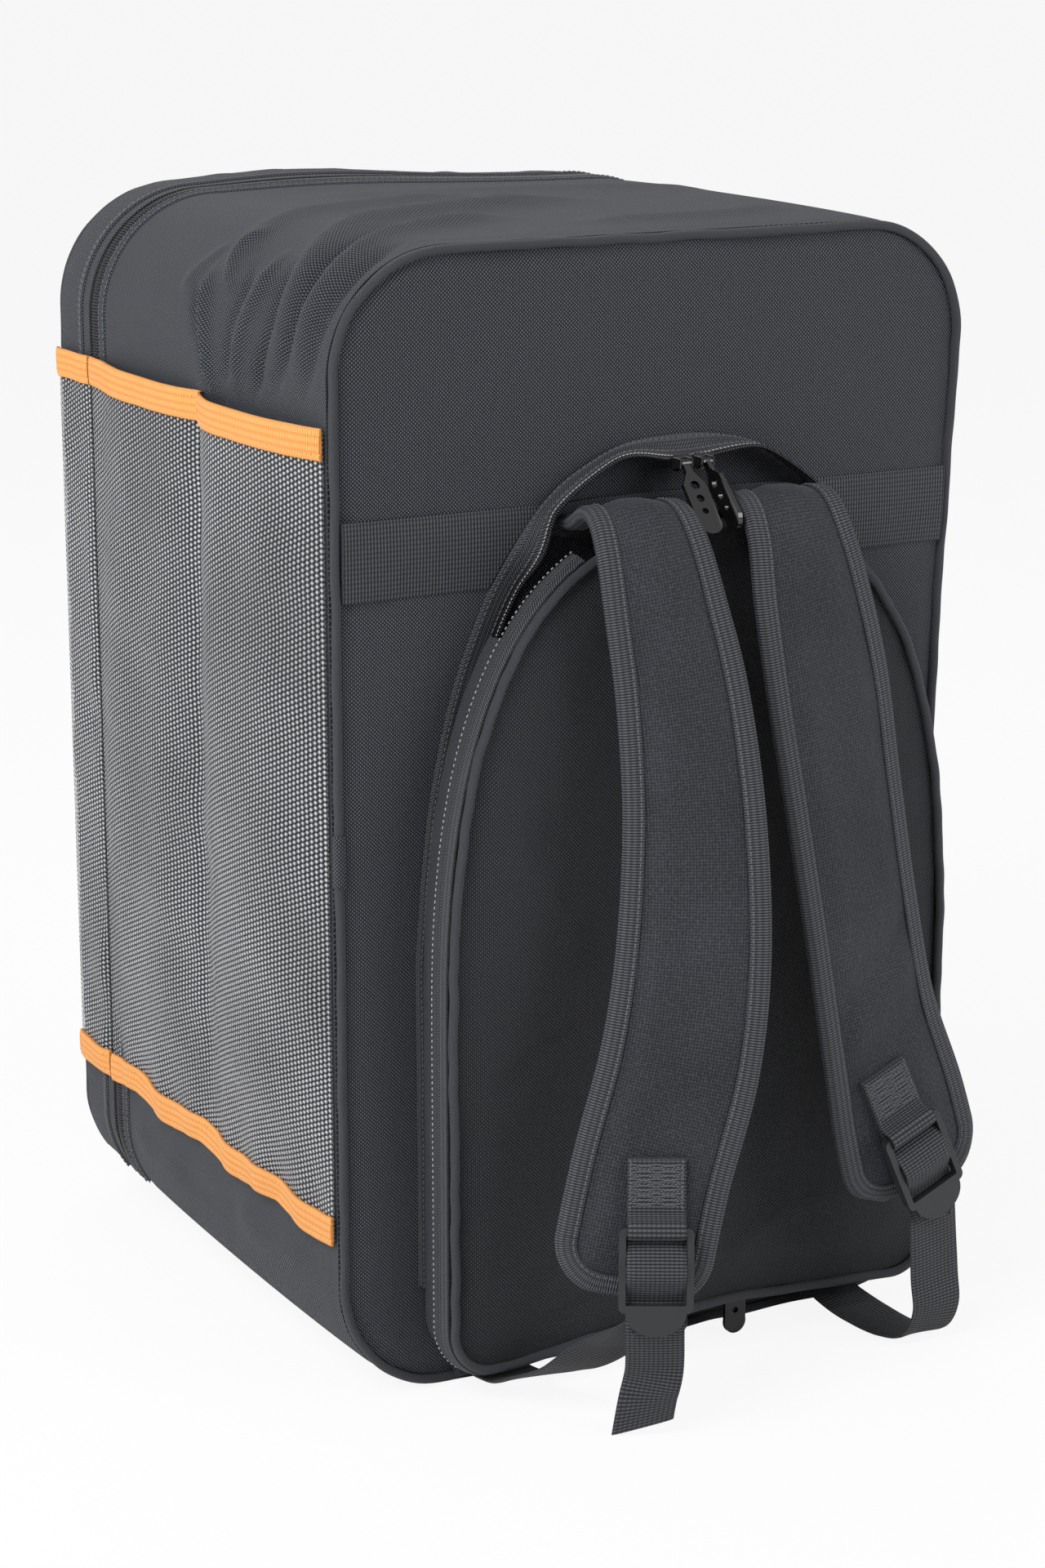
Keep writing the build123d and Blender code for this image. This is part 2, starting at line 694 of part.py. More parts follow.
with BuildPart() as lid_panel:
    add(front_plate.part)
    keep_above(sill_height + clearance)
save(lid_panel, "lid_panel")
with BuildPart() as front_sill:
    add(front_plate.part)
    keep_below(sill_height - clearance)
save(front_sill, "front_sill")

front_bead = piping(half_depth - piping_radius)
with BuildPart() as lid_piping:
    add(front_bead)
    keep_above(sill_height + clearance)
save(lid_piping, "lid_piping")
with BuildPart() as sill_piping:
    add(front_bead)
    keep_below(sill_height - clearance)
save(sill_piping, "sill_piping")


# ---- zip sliders and pullers ---------------------------------------------------------------------
slider_length, slider_breadth, slider_plate = 12.0, 8.0, 1.6
ear_thickness, ear_length = 1.0, 5.0
tube_radius, pin_radius, tube_bore = 2.2, 1.0, 1.35
plate_top = zip_tape_thickness + clearance + slider_plate
pin_height = plate_top + tube_radius + clearance


def make_slider(plane, upright_zip=True):
    """Zip slider with a pin for its puller. The plane's x points up and its z points out of the zip.

    On the upright zip the plates run along x, with a post between the two rows of teeth. On a level
    zip only the outer plate shows, and it runs across x, along the pin.
    """
    inner_top = -(teeth_inner + clearance)
    with BuildPart() as slider:
        with BuildSketch(plane.offset(plate_top - slider_plate)):
            if upright_zip:
                RectangleRounded(slider_length, slider_breadth, 2)
            else:
                RectangleRounded(slider_breadth, slider_length, 2)
        extrude(amount=slider_plate)
        if upright_zip:
            with BuildSketch(plane.offset(inner_top - slider_plate)):
                RectangleRounded(slider_length, slider_breadth, 2)
            extrude(amount=slider_plate)
            with BuildSketch(plane.offset(inner_top)):
                Rectangle(slider_length / 3, teeth_gap - clearance)
            extrude(amount=plate_top - slider_plate - inner_top)
        with BuildSketch(plane.offset(plate_top)):
            for side in (-1, 1):
                with Locations((0, side * (slider_breadth - ear_thickness) / 2)):
                    Rectangle(ear_length, ear_thickness)
        extrude(amount=pin_height - plate_top + 1.8)
        pin_plane = Plane(plane.from_local_coords(Vector(0, -slider_breadth / 2 + ear_thickness / 2, pin_height)),
                          x_dir=plane.x_dir, z_dir=plane.y_dir)
        with BuildSketch(pin_plane):
            Circle(pin_radius)
        extrude(amount=slider_breadth - ear_thickness)
    return slider.part


def make_puller(pivot, down, across, edgeways=False):
    """Puller: a tube round the slider's pin, and a paddle with three holes that shrink downwards.

    pivot is the pin's middle, down points to the paddle's tip and across lies along the pin. An
    edgeways paddle is turned a quarter about its own length.
    """
    out = across.cross(down)
    side, normal = (out, across) if edgeways else (across, out)
    face = Plane(pivot - normal * puller_thickness / 2, x_dir=side, z_dir=normal)
    sense = 1 if face.y_dir.dot(down) > 0 else -1
    tube_length = slider_breadth - 2 * ear_thickness - 2 * clearance
    with BuildPart() as puller:
        with BuildSketch(face):
            with BuildLine():
                neck, half = puller_neck / 2, puller_width / 2
                shoulder, full = sense * puller_shoulder, sense * puller_full
                tip_start, tip = sense * (puller_length - puller_tip), sense * puller_length
                Polyline((-neck, 0), (-neck, shoulder), (-half, full), (-half, tip_start))
                ThreePointArc((-half, tip_start), (0, tip), (half, tip_start))
                Polyline((half, tip_start), (half, full), (neck, shoulder), (neck, 0), (-neck, 0))
            make_face()
            for distance, radius in puller_holes:
                with Locations((0, sense * distance)):
                    Circle(radius, mode=Mode.SUBTRACT)
        extrude(amount=puller_thickness)
        with BuildSketch(Plane(pivot - across * tube_length / 2, x_dir=down, z_dir=across)):
            Circle(tube_radius)
        extrude(amount=tube_length)
        with BuildSketch(Plane(pivot - across * tube_length / 2, x_dir=down, z_dir=across)):
            Circle(tube_bore)
        extrude(amount=tube_length, mode=Mode.SUBTRACT)
    return puller.part


def leaning(degrees_out, out):
    """Downward direction, leaned outwards by an angle."""
    return Vector(0, 0, -1) * cos(radians(degrees_out)) + out * sin(radians(degrees_out))


east, south, up = Vector(1, 0, 0), Vector(0, -1, 0), Vector(0, 0, 1)
main_slider_height = 297.0
slider_apart = slider_length + 2
for name, height, lean in (("upper", main_slider_height + slider_apart / 2, 16),
                           ("lower", main_slider_height - slider_apart / 2, 0)):
    place = Plane(Vector(half_width, zip_centre, height), x_dir=up, z_dir=east)
    with BuildPart() as main_slider:
        add(make_slider(place))
    save(main_slider, f"main_slider_{name}")
    pin = place.from_local_coords(Vector(0, 0, pin_height))
    with BuildPart() as main_puller:
        add(make_puller(pin, leaning(lean, east), place.y_dir))
    save(main_puller, f"main_puller_{name}")

arch_lip = teeth_seat + teeth_width / 2
arch_slider_height = arch_spring + arch_rise - arch_lip * cos(radians(arch_droop_angle))
arch_slider_depth = arch_tape_depth + arch_lip * sin(radians(arch_droop_angle)) - zip_tape_thickness + 8 * clearance
for name, x, lean, edgeways in (("left", 2.5, 42, False), ("right", 15.2, 48, True)):
    place = Plane(Vector(x, rear(arch_slider_depth), arch_slider_height), x_dir=up, z_dir=south)
    with BuildPart() as arch_slider:
        add(make_slider(place, upright_zip=False))
    save(arch_slider, f"arch_slider_{name}")
    pin = place.from_local_coords(Vector(0, 0, pin_height))
    with BuildPart() as arch_puller:
        add(make_puller(pin, leaning(lean, south), place.y_dir, edgeways))
    save(arch_puller, f"arch_puller_{name}")

# The third slider sits on a tape inside the cover, and its puller hangs out of the bottom's gap.
cover_pin_height = 45.0
with BuildPart() as cover_zip_tape:
    with BuildSketch(facing(rear(cover_back - clearance - zip_tape_thickness))):
        with Locations((cover_slot_centre, cover_pin_height)):
            Rectangle(3 * cover_slot_width, zip_tape_width)
    extrude(amount=zip_tape_thickness)
save(cover_zip_tape, "cover_zip_tape")

place = Plane(Vector(cover_slot_centre, rear(cover_back - clearance), cover_pin_height), x_dir=up, z_dir=-south)
with BuildPart() as cover_slider:
    add(make_slider(place, upright_zip=False))
save(cover_slider, "cover_slider")
pin = place.from_local_coords(Vector(0, 0, pin_height))
with BuildPart() as cover_puller:
    add(make_puller(pin, leaning(0, south), place.y_dir))
save(cover_puller, "cover_puller")
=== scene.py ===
"""Box-shaped kit backpack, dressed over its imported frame: fabric, mesh, webbing, zips and buckles.

Metres. +Z is up, +X runs across the bag, the harness side is -Y and the fold-out front is +Y.
"""
from math import cos, pi, radians, sin

import bmesh
import bpy
import numpy as np
from mathutils import Matrix, Vector


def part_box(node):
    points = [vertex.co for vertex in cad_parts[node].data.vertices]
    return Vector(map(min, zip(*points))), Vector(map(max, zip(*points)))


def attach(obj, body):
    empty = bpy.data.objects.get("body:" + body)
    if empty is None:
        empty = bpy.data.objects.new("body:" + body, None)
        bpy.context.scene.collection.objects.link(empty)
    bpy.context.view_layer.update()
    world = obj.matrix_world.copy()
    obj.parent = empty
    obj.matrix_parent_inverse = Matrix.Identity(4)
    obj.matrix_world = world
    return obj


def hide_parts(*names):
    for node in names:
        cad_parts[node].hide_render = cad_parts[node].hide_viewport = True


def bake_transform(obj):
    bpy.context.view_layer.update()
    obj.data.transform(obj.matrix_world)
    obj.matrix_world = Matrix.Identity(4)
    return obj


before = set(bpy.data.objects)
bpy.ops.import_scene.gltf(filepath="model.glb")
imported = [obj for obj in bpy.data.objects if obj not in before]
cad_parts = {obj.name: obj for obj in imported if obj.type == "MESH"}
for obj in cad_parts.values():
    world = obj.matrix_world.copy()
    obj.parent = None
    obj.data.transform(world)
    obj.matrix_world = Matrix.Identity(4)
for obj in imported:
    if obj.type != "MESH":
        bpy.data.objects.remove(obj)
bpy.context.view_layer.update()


# ---- Studio -------------------------------------------------------------------------------------
# A pale floor that keeps the bag's shadow, a white surround, and large soft lamps: one high on the
# left that makes the folds read, one fill on the right and a weak one behind.
camera_place = Vector((-0.903, -1.669, 0.774))
camera_view = Vector((0.4663, 0.8468, -0.2560))
camera = bpy.data.objects.new("camera", bpy.data.cameras.new("camera"))
camera.data.sensor_fit = "VERTICAL"
camera.data.sensor_height = 36.0
camera.data.lens = 78.85
camera.location = camera_place
camera.rotation_euler = camera_view.to_track_quat("-Z", "Y").to_euler()
bpy.context.scene.collection.objects.link(camera)
bpy.context.scene.camera = camera
bpy.context.scene.view_settings.view_transform = "Standard"


def lamp(name, place, target, width, height, power):
    light = bpy.data.lights.new(name, "AREA")
    light.shape, light.size, light.size_y, light.energy = "RECTANGLE", width, height, power
    holder = bpy.data.objects.new(name, light)
    holder.location = place
    holder.rotation_euler = (Vector(target) - Vector(place)).to_track_quat("-Z", "Y").to_euler()
    bpy.context.scene.collection.objects.link(holder)


lamp("key_lamp", (-1.7, -0.9, 2.1), (0, 0, 0.3), 1.3, 1.3, 46)
lamp("fill_lamp", (1.5, -2.0, 1.2), (0, 0, 0.3), 1.5, 1.5, 27)
lamp("back_lamp", (0.6, 1.6, 2.2), (0, 0, 0.4), 1.2, 1.2, 10)
lamp("side_lamp", (-2.2, 0.5, 0.7), (0, 0, 0.3), 0.9, 1.4, 22)


class Wire:
    """A socket of a material, so that shader maths reads as Python."""

    def __init__(self, tree, socket=None):
        self.tree, self.socket = tree, socket

    def node(self, kind, settings=None, output=0, **values):
        """Add a node with its settings, then the values or links of its sockets, named or numbered as _0."""
        made = self.tree.nodes.new("ShaderNode" + kind)
        for key, value in (settings or {}).items():
            if key == "stops":
                made.color_ramp.elements.remove(made.color_ramp.elements[1])
                for index, (place, colour) in enumerate(value):
                    stop = made.color_ramp.elements[0] if index == 0 else made.color_ramp.elements.new(place)
                    stop.position, stop.color = place, colour
            else:
                setattr(made, key, value)
        for key, value in values.items():
            name = int(key[1:]) if key[0] == "_" else key.replace("_", " ")
            if isinstance(value, Wire):
                self.tree.links.new(value.socket, made.inputs[name])
            else:
                made.inputs[name].default_value = value
        return Wire(self.tree, made.outputs[output])

    def maths(self, operation, *values):
        return self.node("Math", {"operation": operation}, **{f"_{i}": v for i, v in enumerate(values)})

    def __add__(self, other): return self.maths("ADD", self, other)
    def __radd__(self, other): return self.maths("ADD", other, self)
    def __sub__(self, other): return self.maths("SUBTRACT", self, other)
    def __rsub__(self, other): return self.maths("SUBTRACT", other, self)
    def __mul__(self, other): return self.maths("MULTIPLY", self, other)
    def __rmul__(self, other): return self.maths("MULTIPLY", other, self)
    def __truediv__(self, other): return self.maths("DIVIDE", self, other)
    def __pow__(self, other): return self.maths("POWER", self, other)

    def mix(self, colour_a, colour_b):
        """Colour between two, by this value."""
        return self.node("Mix", {"data_type": "RGBA"}, output=2, _0=self, _6=colour_a, _7=colour_b)

    def noise(self, scale, detail=2.0):
        """Cloudy noise from 0 to 1 through the piece's own space, its scale in waves a metre."""
        return self.node("TexNoise", _0=self.node("TexCoord", output=3), Scale=scale, Detail=detail)

    def cloth_map(self):
        """The two lengths, in metres, that the piece's UV map "cloth" holds."""
        u = self.node("SeparateXYZ", _0=self.node("UVMap", {"uv_map": "cloth"}))
        return u, Wire(self.tree, u.socket.node.outputs[1])


def material(name):
    """A new material with its principled shader and the wire to start its maths from."""
    made = bpy.data.materials.new(name)
    made.use_nodes = True
    return made, made.node_tree.nodes["Principled BSDF"], Wire(made.node_tree)


def connect(shader, **values):
    """Link or set the shader's sockets, named with _ for a space."""
    tree = shader.id_data
    for key, value in values.items():
        socket = shader.inputs[key.replace("_", " ")]
        if isinstance(value, Wire):
            tree.links.new(value.socket, socket)
        else:
            socket.default_value = value


floor_paint, shader, wire = material("floor_paint")
glow = wire.node("Emission", Color=(1, 1, 1, 1), Strength=1.0)
plain = wire.node("BsdfDiffuse", Color=(0.9, 0.9, 0.9, 1))
lit = wire.node("MixShader", _0=wire.node("LightPath") * 0.9, _1=plain, _2=glow)
floor_paint.node_tree.nodes.remove(shader)
floor_paint.node_tree.links.new(lit.socket, floor_paint.node_tree.nodes["Material Output"].inputs[0])
floor_mesh = bpy.data.meshes.new("floor")
floor_mesh.from_pydata([(-20, -20, 0), (20, -20, 0), (20, 20, 0), (-20, 20, 0)], [], [(0, 1, 2, 3)])
floor_mesh.materials.append(floor_paint)
floor = bpy.data.objects.new("floor", floor_mesh)
bpy.context.scene.collection.objects.link(floor)

world = bpy.data.worlds.new("surround")
bpy.context.scene.world = world
world.use_nodes = True
wire = Wire(world.node_tree)
path = wire.node("LightPath")
glossy = Wire(world.node_tree, path.socket.node.outputs["Is Glossy Ray"])
through = Wire(world.node_tree, path.socket.node.outputs["Is Transmission Ray"])
shows = wire.maths("MINIMUM", path + through + glossy * 0.35, 1.0)
level = 0.27 + 0.73 * shows
backdrop = world.node_tree.nodes["Background"]
backdrop.inputs["Color"].default_value = (1, 1, 1, 1)
world.node_tree.links.new(level.socket, backdrop.inputs["Strength"])


# ---- Body shell ---------------------------------------------------------------------------------
# The soft walls round the box: one long strip of padded polyester oxford, cut to the outline of
# the panels and sewn to them inside the piping. Its slack makes folds over the rear top corner.
low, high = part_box("body_shell")
half_width, body_height = high.x, high.z
half_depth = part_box("lid_piping")[1].y
corner = 0.064
straight_x, straight_z = half_width - corner, body_height - corner
seam = 0.005
zip_middle = sum(corner_point.y for corner_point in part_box("main_slider_upper")) / 2


def around(count, inset=0.0, at=None):
    """Points round the body's outline, from the top's middle towards -X, and its outward normals.

    They are evenly spaced, or lie at the given arc lengths.
    """
    radius = corner - inset
    lengths = [straight_x, radius * pi / 2, straight_z - corner, radius * pi / 2, 2 * straight_x,
               radius * pi / 2, straight_z - corner, radius * pi / 2, straight_x]
    spots, normals = [], []
    total = sum(lengths)
    for left in np.arange(count) * total / count if at is None else at:
        for index, length in enumerate(lengths):
            if left <= length or index == 8:
                break
            left -= length
        turn = 90 * (left / length) if length else 0
        if index == 0:
            spot, normal = (-left, body_height - inset), (0, 1)
        elif index == 1:
            normal = (-sin(radians(turn)), cos(radians(turn)))
            spot = (-straight_x + radius * normal[0], straight_z + radius * normal[1])
        elif index == 2:
            spot, normal = (-half_width + inset, straight_z - left), (-1, 0)
        elif index == 3:
            normal = (-cos(radians(turn)), -sin(radians(turn)))
            spot = (-straight_x + radius * normal[0], corner + radius * normal[1])
        elif index == 4:
            spot, normal = (-straight_x + left, inset), (0, -1)
        elif index == 5:
            normal = (sin(radians(turn)), -cos(radians(turn)))
            spot = (straight_x + radius * normal[0], corner + radius * normal[1])
        elif index == 6:
            spot, normal = (half_width - inset, corner + left), (1, 0)
        elif index == 7:
            normal = (cos(radians(turn)), sin(radians(turn)))
            spot = (straight_x + radius * normal[0], straight_z + radius * normal[1])
        else:
            spot, normal = (straight_x - left, body_height - inset), (0, 1)
        spots.append(spot)
        normals.append(normal)
    return np.array(spots), np.array(normals), total


def smoothstep(low, high, value):
    share = np.clip((value - low) / (high - low), 0, 1)
    return share * share * (3 - 2 * share)


def settle(points):
    """How the filled bag gives: its right side draws in behind, and the front's top edge crowns."""
    points = np.array(points, float)
    x, y, z = points[..., 0], points[..., 1], points[..., 2]
    middle = np.sin(pi * np.clip(z / body_height, 0, 1)) ** 1.5
    rearward = 1 - smoothstep(-0.17, 0.12, y)
    draw = 0.011 * middle * rearward * smoothstep(0.10, half_width, x)
    front_top = smoothstep(0.05, 0.17, y) * smoothstep(0.5, body_height, z)
    crown = 0.008 * front_top * np.exp(-((x + 0.05) / 0.09) ** 2)
    moved = points.copy()
    moved[..., 0] = x - draw
    moved[..., 2] = z + crown
    return moved


def lengths_along(line):
    return np.concatenate([[0], np.cumsum(np.linalg.norm(np.diff(line, axis=0), axis=1))])


def curve_through(points, steps=10):
    """Points on a smooth curve through the given ones, whatever numbers each holds."""
    points = np.asarray(points, float)
    rows = []
    for k in range(len(points) - 1):
        before, start = points[max(k - 1, 0)], points[k]
        end, after = points[k + 1], points[min(k + 2, len(points) - 1)]
        for t in np.arange(steps) / steps:
            rows.append(((-t + 2 * t * t - t ** 3) * before + (2 - 5 * t * t + 3 * t ** 3) * start
                         + (t + 4 * t * t - 3 * t ** 3) * end + (t ** 3 - t * t) * after) / 2)
    return np.array(rows + [points[-1]])


rim_step, rim_width = 0.004, 0.003


def cloth(name, outer, inner=None, wrap_rows=False, wrap_columns=False, paint=None, crisp=50, flat=None):
    """A mesh from a grid of points, rows by columns, with an inner skin and rims if one is given.

    Its UV map "cloth" holds lengths in metres, u along the columns and v along the rows, or the flat
    positions of the grid's points if they are given.
    """
    outer = np.asarray(outer, float)
    rows, columns = outer.shape[:2]
    down = rows if wrap_rows else rows - 1
    along = columns if wrap_columns else columns - 1
    across_line = outer[rows // 2]
    down_line = outer[:, columns // 2]
    if wrap_columns:
        across_line = np.vstack([across_line, across_line[:1]])
    if wrap_rows:
        down_line = np.vstack([down_line, down_line[:1]])
    u, v = lengths_along(across_line), lengths_along(down_line)
    index = np.arange(rows * columns).reshape(rows, columns)
    r, c = np.meshgrid(np.arange(down), np.arange(along), indexing="ij")
    r, c = r.ravel(), c.ravel()
    r1, c1 = (r + 1) % rows, (c + 1) % columns
    quads = np.stack([index[r, c], index[r, c1], index[r1, c1], index[r1, c]], axis=1)
    uvs = np.stack([np.stack([u[c + right], v[r + up]], 1) for right, up in ((0, 0), (1, 0), (1, 1), (0, 1))],
                   axis=1)
    if flat is not None:
        uvs = np.asarray(flat, float).reshape(-1, 2)[quads]
    points, faces, maps = [outer.reshape(-1, 3)], [quads], [uvs]
    if inner is not None:
        offset = rows * columns
        points.append(np.asarray(inner, float).reshape(-1, 3))
        faces.append(quads[:, ::-1] + offset)
        maps.append(uvs[:, ::-1])
        rims = []
        if not wrap_rows:
            rims += [(index[0, :], 1), (index[-1, :], -1)]
        if not wrap_columns:
            rims += [(index[:, 0], -1), (index[:, -1], 1)]
        for number, (rim, sense) in enumerate(rims):
            closed = (wrap_columns and number < 2 and not wrap_rows) or (wrap_rows and not wrap_columns)
            start, end = (rim, np.roll(rim, -1)) if closed else (rim[:-1], rim[1:])
            strip = np.stack([end, start, start + offset, end + offset], axis=1)
            run = np.arange(len(strip)) * rim_step
            corners = ((rim_step, 0), (0, 0), (0, rim_width), (rim_step, rim_width))
            strip_uv = np.stack([np.stack([run + right, run * 0 + up], 1) for right, up in corners], axis=1)
            faces.append(strip[:, ::sense])
            maps.append(strip_uv[:, ::sense])
    mesh = bpy.data.meshes.new(name)
    mesh.from_pydata(np.vstack(points).tolist(), [], np.vstack(faces).tolist())
    layer = mesh.uv_layers.new(name="cloth")
    layer.data.foreach_set("uv", np.vstack(maps).reshape(-1).astype(np.float32))
    return finish_piece(name, mesh, paint, crisp)


def finish_piece(name, mesh, paint, crisp=50):
    """Turn the faces outwards, shade smooth with crisp edges above an angle, and add the object."""
    sheet = bmesh.new()
    sheet.from_mesh(mesh)
    bmesh.ops.recalc_face_normals(sheet, faces=sheet.faces)
    sheet.to_mesh(mesh)
    sheet.free()
    mesh.polygons.foreach_set("use_smooth", [True] * len(mesh.polygons))
    mesh.set_sharp_from_angle(angle=radians(crisp))
    if paint:
        mesh.materials.append(paint)
    piece = bpy.data.objects.new(name, mesh)
    bpy.context.scene.collection.objects.link(piece)
    return piece


def weave_height(wire, cell):
    """Height of a plain weave from 0 to 1, and 1 where the warp thread lies over, 0 where the weft does."""
    u, v = wire.cloth_map()
    u, v = u / cell, v / cell
    warp = wire.maths("SINE", wire.maths("FRACT", u) * pi)
    weft = wire.maths("SINE", wire.maths("FRACT", v) * pi)
    turn = wire.maths("FLOORED_MODULO", wire.maths("FLOOR", u) + wire.maths("FLOOR", v), 2.0)
    return warp * (0.7 + 0.3 * weft) * turn + weft * (0.7 + 0.3 * warp) * (1 - turn), turn


def woven(name, dark, light, cell=0.0010, rough=0.60, sheen=0.05, bump=0.0007, cloud=0.22):
    """Woven polyester: threads from dark to light, with painted shade between them, a painted highlight on
    their tops and a cloudy wear of the colour.
    """
    made, shader, wire = material(name)
    height, warp_over = weave_height(wire, cell)
    clouds, fuzz = wire.noise(9.0, 3.0), wire.noise(900.0, 1.0)
    # Painted light: the colour follows the threads' height. It is dark down between them as painted shade and
    # light on their tops as a painted highlight, mostly where the warp lies over. Clouds and fuzz vary it at
    # random.
    share = height ** 1.5 * (0.8 + clouds * cloud + fuzz * 0.5) * (0.06 + 1.15 * warp_over)
    share = wire.maths("MINIMUM", wire.maths("MAXIMUM", share, 0.0), 1.0)
    lift = wire.node("Bump", Height=height + fuzz * 0.3, Distance=bump, Strength=0.8)
    connect(shader, Base_Color=share.mix(dark, light), Roughness=rough + 0.12 * (1 - height), Normal=lift,
            Sheen_Weight=sheen, Sheen_Roughness=0.45, Specular_IOR_Level=0.35)
    return made


oxford = woven("charcoal_oxford", (0.0020, 0.0024, 0.0034, 1), (0.112, 0.124, 0.152, 1))


def crease(u, v, line, width, height):
    """A ridge along a bent line, or a valley if height is negative, fading at both its ends."""
    line = curve_through(line, 5)
    nearest, share = np.full(u.shape, 1e9), np.zeros(u.shape)
    far = lengths_along(line)
    for k in range(len(line) - 1):
        run = line[k + 1] - line[k]
        at = np.clip(((u - line[k][0]) * run[0] + (v - line[k][1]) * run[1]) / max(run.dot(run), 1e-12), 0, 1)
        away = np.hypot(u - line[k][0] - run[0] * at, v - line[k][1] - run[1] * at)
        share = np.where(away < nearest, (far[k] + (far[k + 1] - far[k]) * at) / far[-1], share)
        nearest = np.minimum(away, nearest)
    fade = smoothstep(0, 0.3, share) * (1 - smoothstep(0.75, 1.0, share))
    return height * fade / (1 + (nearest / width) ** 2) ** 1.6


# Folds of the wall as (line, width, height). Each line runs through (t, y), and t goes from the
# top's middle down the left side.
wall_folds = [
    ([(-0.06, -0.020), (0.057, -0.061), (0.120, -0.090), (0.168, -0.115), (0.204, -0.118), (0.236, -0.115)],
     0.013, 0.0075),
    ([(-0.02, 0.020), (0.060, 0.000), (0.126, -0.030), (0.175, -0.036), (0.215, -0.030)], 0.014, 0.0050),
    ([(0.03, -0.085), (0.090, -0.115), (0.150, -0.140), (0.190, -0.146), (0.240, -0.140)], 0.009, 0.0065),
    ([(0.09, -0.105), (0.140, -0.128), (0.180, -0.132), (0.214, -0.126), (0.245, -0.112)], 0.006, -0.0085),
    ([(0.13, -0.155), (0.170, -0.160), (0.205, -0.157), (0.240, -0.150)], 0.006, -0.0055),
    ([(0.165, -0.098), (0.198, -0.106), (0.222, -0.098), (0.248, -0.092)], 0.005, -0.0070),
    ([(0.160, -0.080), (0.190, -0.086), (0.215, -0.080), (0.246, -0.073)], 0.006, 0.0060),
    ([(0.171, -0.060), (0.190, -0.064), (0.214, -0.060), (0.244, -0.058)], 0.004, -0.0045),
    ([(0.176, -0.020), (0.200, -0.030), (0.225, -0.041), (0.252, -0.046)], 0.005, 0.0065),
    ([(0.186, -0.004), (0.208, -0.016), (0.228, -0.030), (0.252, -0.034)], 0.004, -0.0050),
    ([(0.150, -0.048), (0.168, -0.038), (0.186, -0.044), (0.196, -0.058)], 0.004, 0.0026),
    ([(0.165, -0.022), (0.182, -0.006), (0.200, 0.010)], 0.006, 0.0022),
    ([(-0.16, 0.010), (-0.06, 0.040), (0.040, 0.052), (0.110, 0.056)], 0.018, 0.0030),
    ([(-0.13, -0.110), (-0.05, -0.132), (0.030, -0.128)], 0.012, 0.0035),
    ([(0.680, -0.150), (0.700, -0.100), (0.690, -0.040)], 0.010, 0.0030),
    ([(0.684, -0.070), (0.700, -0.020), (0.694, 0.050)], 0.008, -0.0025),
    ([(0.682, 0.010), (0.702, 0.060), (0.690, 0.105)], 0.009, 0.0028),
    ([(-0.20, -0.120), (-0.27, -0.05), (-0.34, 0.03)], 0.018, 0.0030),
    ([(-0.30, -0.100), (-0.42, -0.03), (-0.52, 0.05)], 0.022, 0.0030),
    ([(-0.55, -0.080), (-0.61, 0.00), (-0.66, 0.07)], 0.016, 0.0030),
]
_, _, perimeter = around(2)
t = np.concatenate([np.arange(0, 0.262, 0.0021), np.arange(0.262, perimeter - 0.06, 0.0062),
                    np.arange(perimeter - 0.06, perimeter, 0.003)])
wall_count = len(t)
spots, normals, _ = around(wall_count, at=t)
inner_spots = spots - normals * 0.004
t_signed = np.where(t > perimeter / 2, t - perimeter, t)


def wall(name, back, front, steps, paint, body, node, folds=(), puff=0.0025, low_z=None):
    """A stretch of the wall from y = back to y = front, puffed between its seams and folded."""
    y = np.linspace(back, front, steps)
    grid_t, grid_y = np.meshgrid(t_signed, y)
    share = (grid_y - back) / (front - back)
    pinned = np.minimum(smoothstep(0, 0.05, share), smoothstep(0, 0.05, 1 - share))
    lift = puff * np.sin(pi * np.clip(share, 0, 1)) ** 0.6
    for line, width, height in folds:
        lift = lift + crease(grid_t, grid_y, line, width, height)
    under_mesh = smoothstep(0.236, 0.256, grid_t) * (1 - smoothstep(0.674, 0.690, grid_t))
    lift = lift * (1 - 0.85 * under_mesh)
    floor_start = perimeter / 2 - straight_x
    on_floor = smoothstep(floor_start - 0.03, floor_start + 0.01, np.abs(grid_t))
    lift = lift * (1 - on_floor) * pinned
    outer = np.empty((steps, wall_count, 3))
    outer[..., 0] = spots[:, 0] + normals[:, 0] * lift
    outer[..., 1] = grid_y
    outer[..., 2] = spots[:, 1] + normals[:, 1] * lift
    inner = np.empty_like(outer)
    inner[..., 0] = inner_spots[:, 0]
    inner[..., 1] = grid_y
    inner[..., 2] = inner_spots[:, 1]
    outer, inner = settle(outer), settle(inner)
    if low_z is None:
        piece = cloth(name, outer, inner, wrap_columns=True, paint=paint)
    else:
        keep = np.where(spots[:, 1] > low_z)[0]
        gap = np.where(np.diff(keep) > 1)[0]
        order = np.concatenate([keep[gap[0] + 1:], keep[:gap[0] + 1]])
        piece = cloth(name, outer[:, order], inner[:, order], paint=paint)
    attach(piece, body)
    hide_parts(node)
    return piece


shell_back = -half_depth + seam
shell_front = zip_middle - 0.010
shell_wall = wall("shell_wall", shell_back, shell_front, 136, oxford, "bag", "body_shell", wall_folds)


# ---- Back panel and band ------------------------------------------------------------------------
# A foam panel in the same oxford, sewn inside the rear piping, with a 40 mm webbing band across it
# that the load hangs from. The band passes behind the arch's zip.
def ripple(u, v, seed, scale, count=14):
    """A gentle, uneven surface from -1 to 1: a few sine waves in seeded directions."""
    rng = np.random.default_rng(seed)
    height = 0
    for _ in range(count):
        direction, phase = rng.uniform(0, pi), rng.uniform(0, 2 * pi)
        wave = 2 * pi / (scale * rng.uniform(0.5, 1.8))
        strength = rng.uniform(0.4, 1)
        height = height + np.sin((u * cos(direction) + v * sin(direction)) * wave + phase) * strength
    return height / count ** 0.5 / 0.9


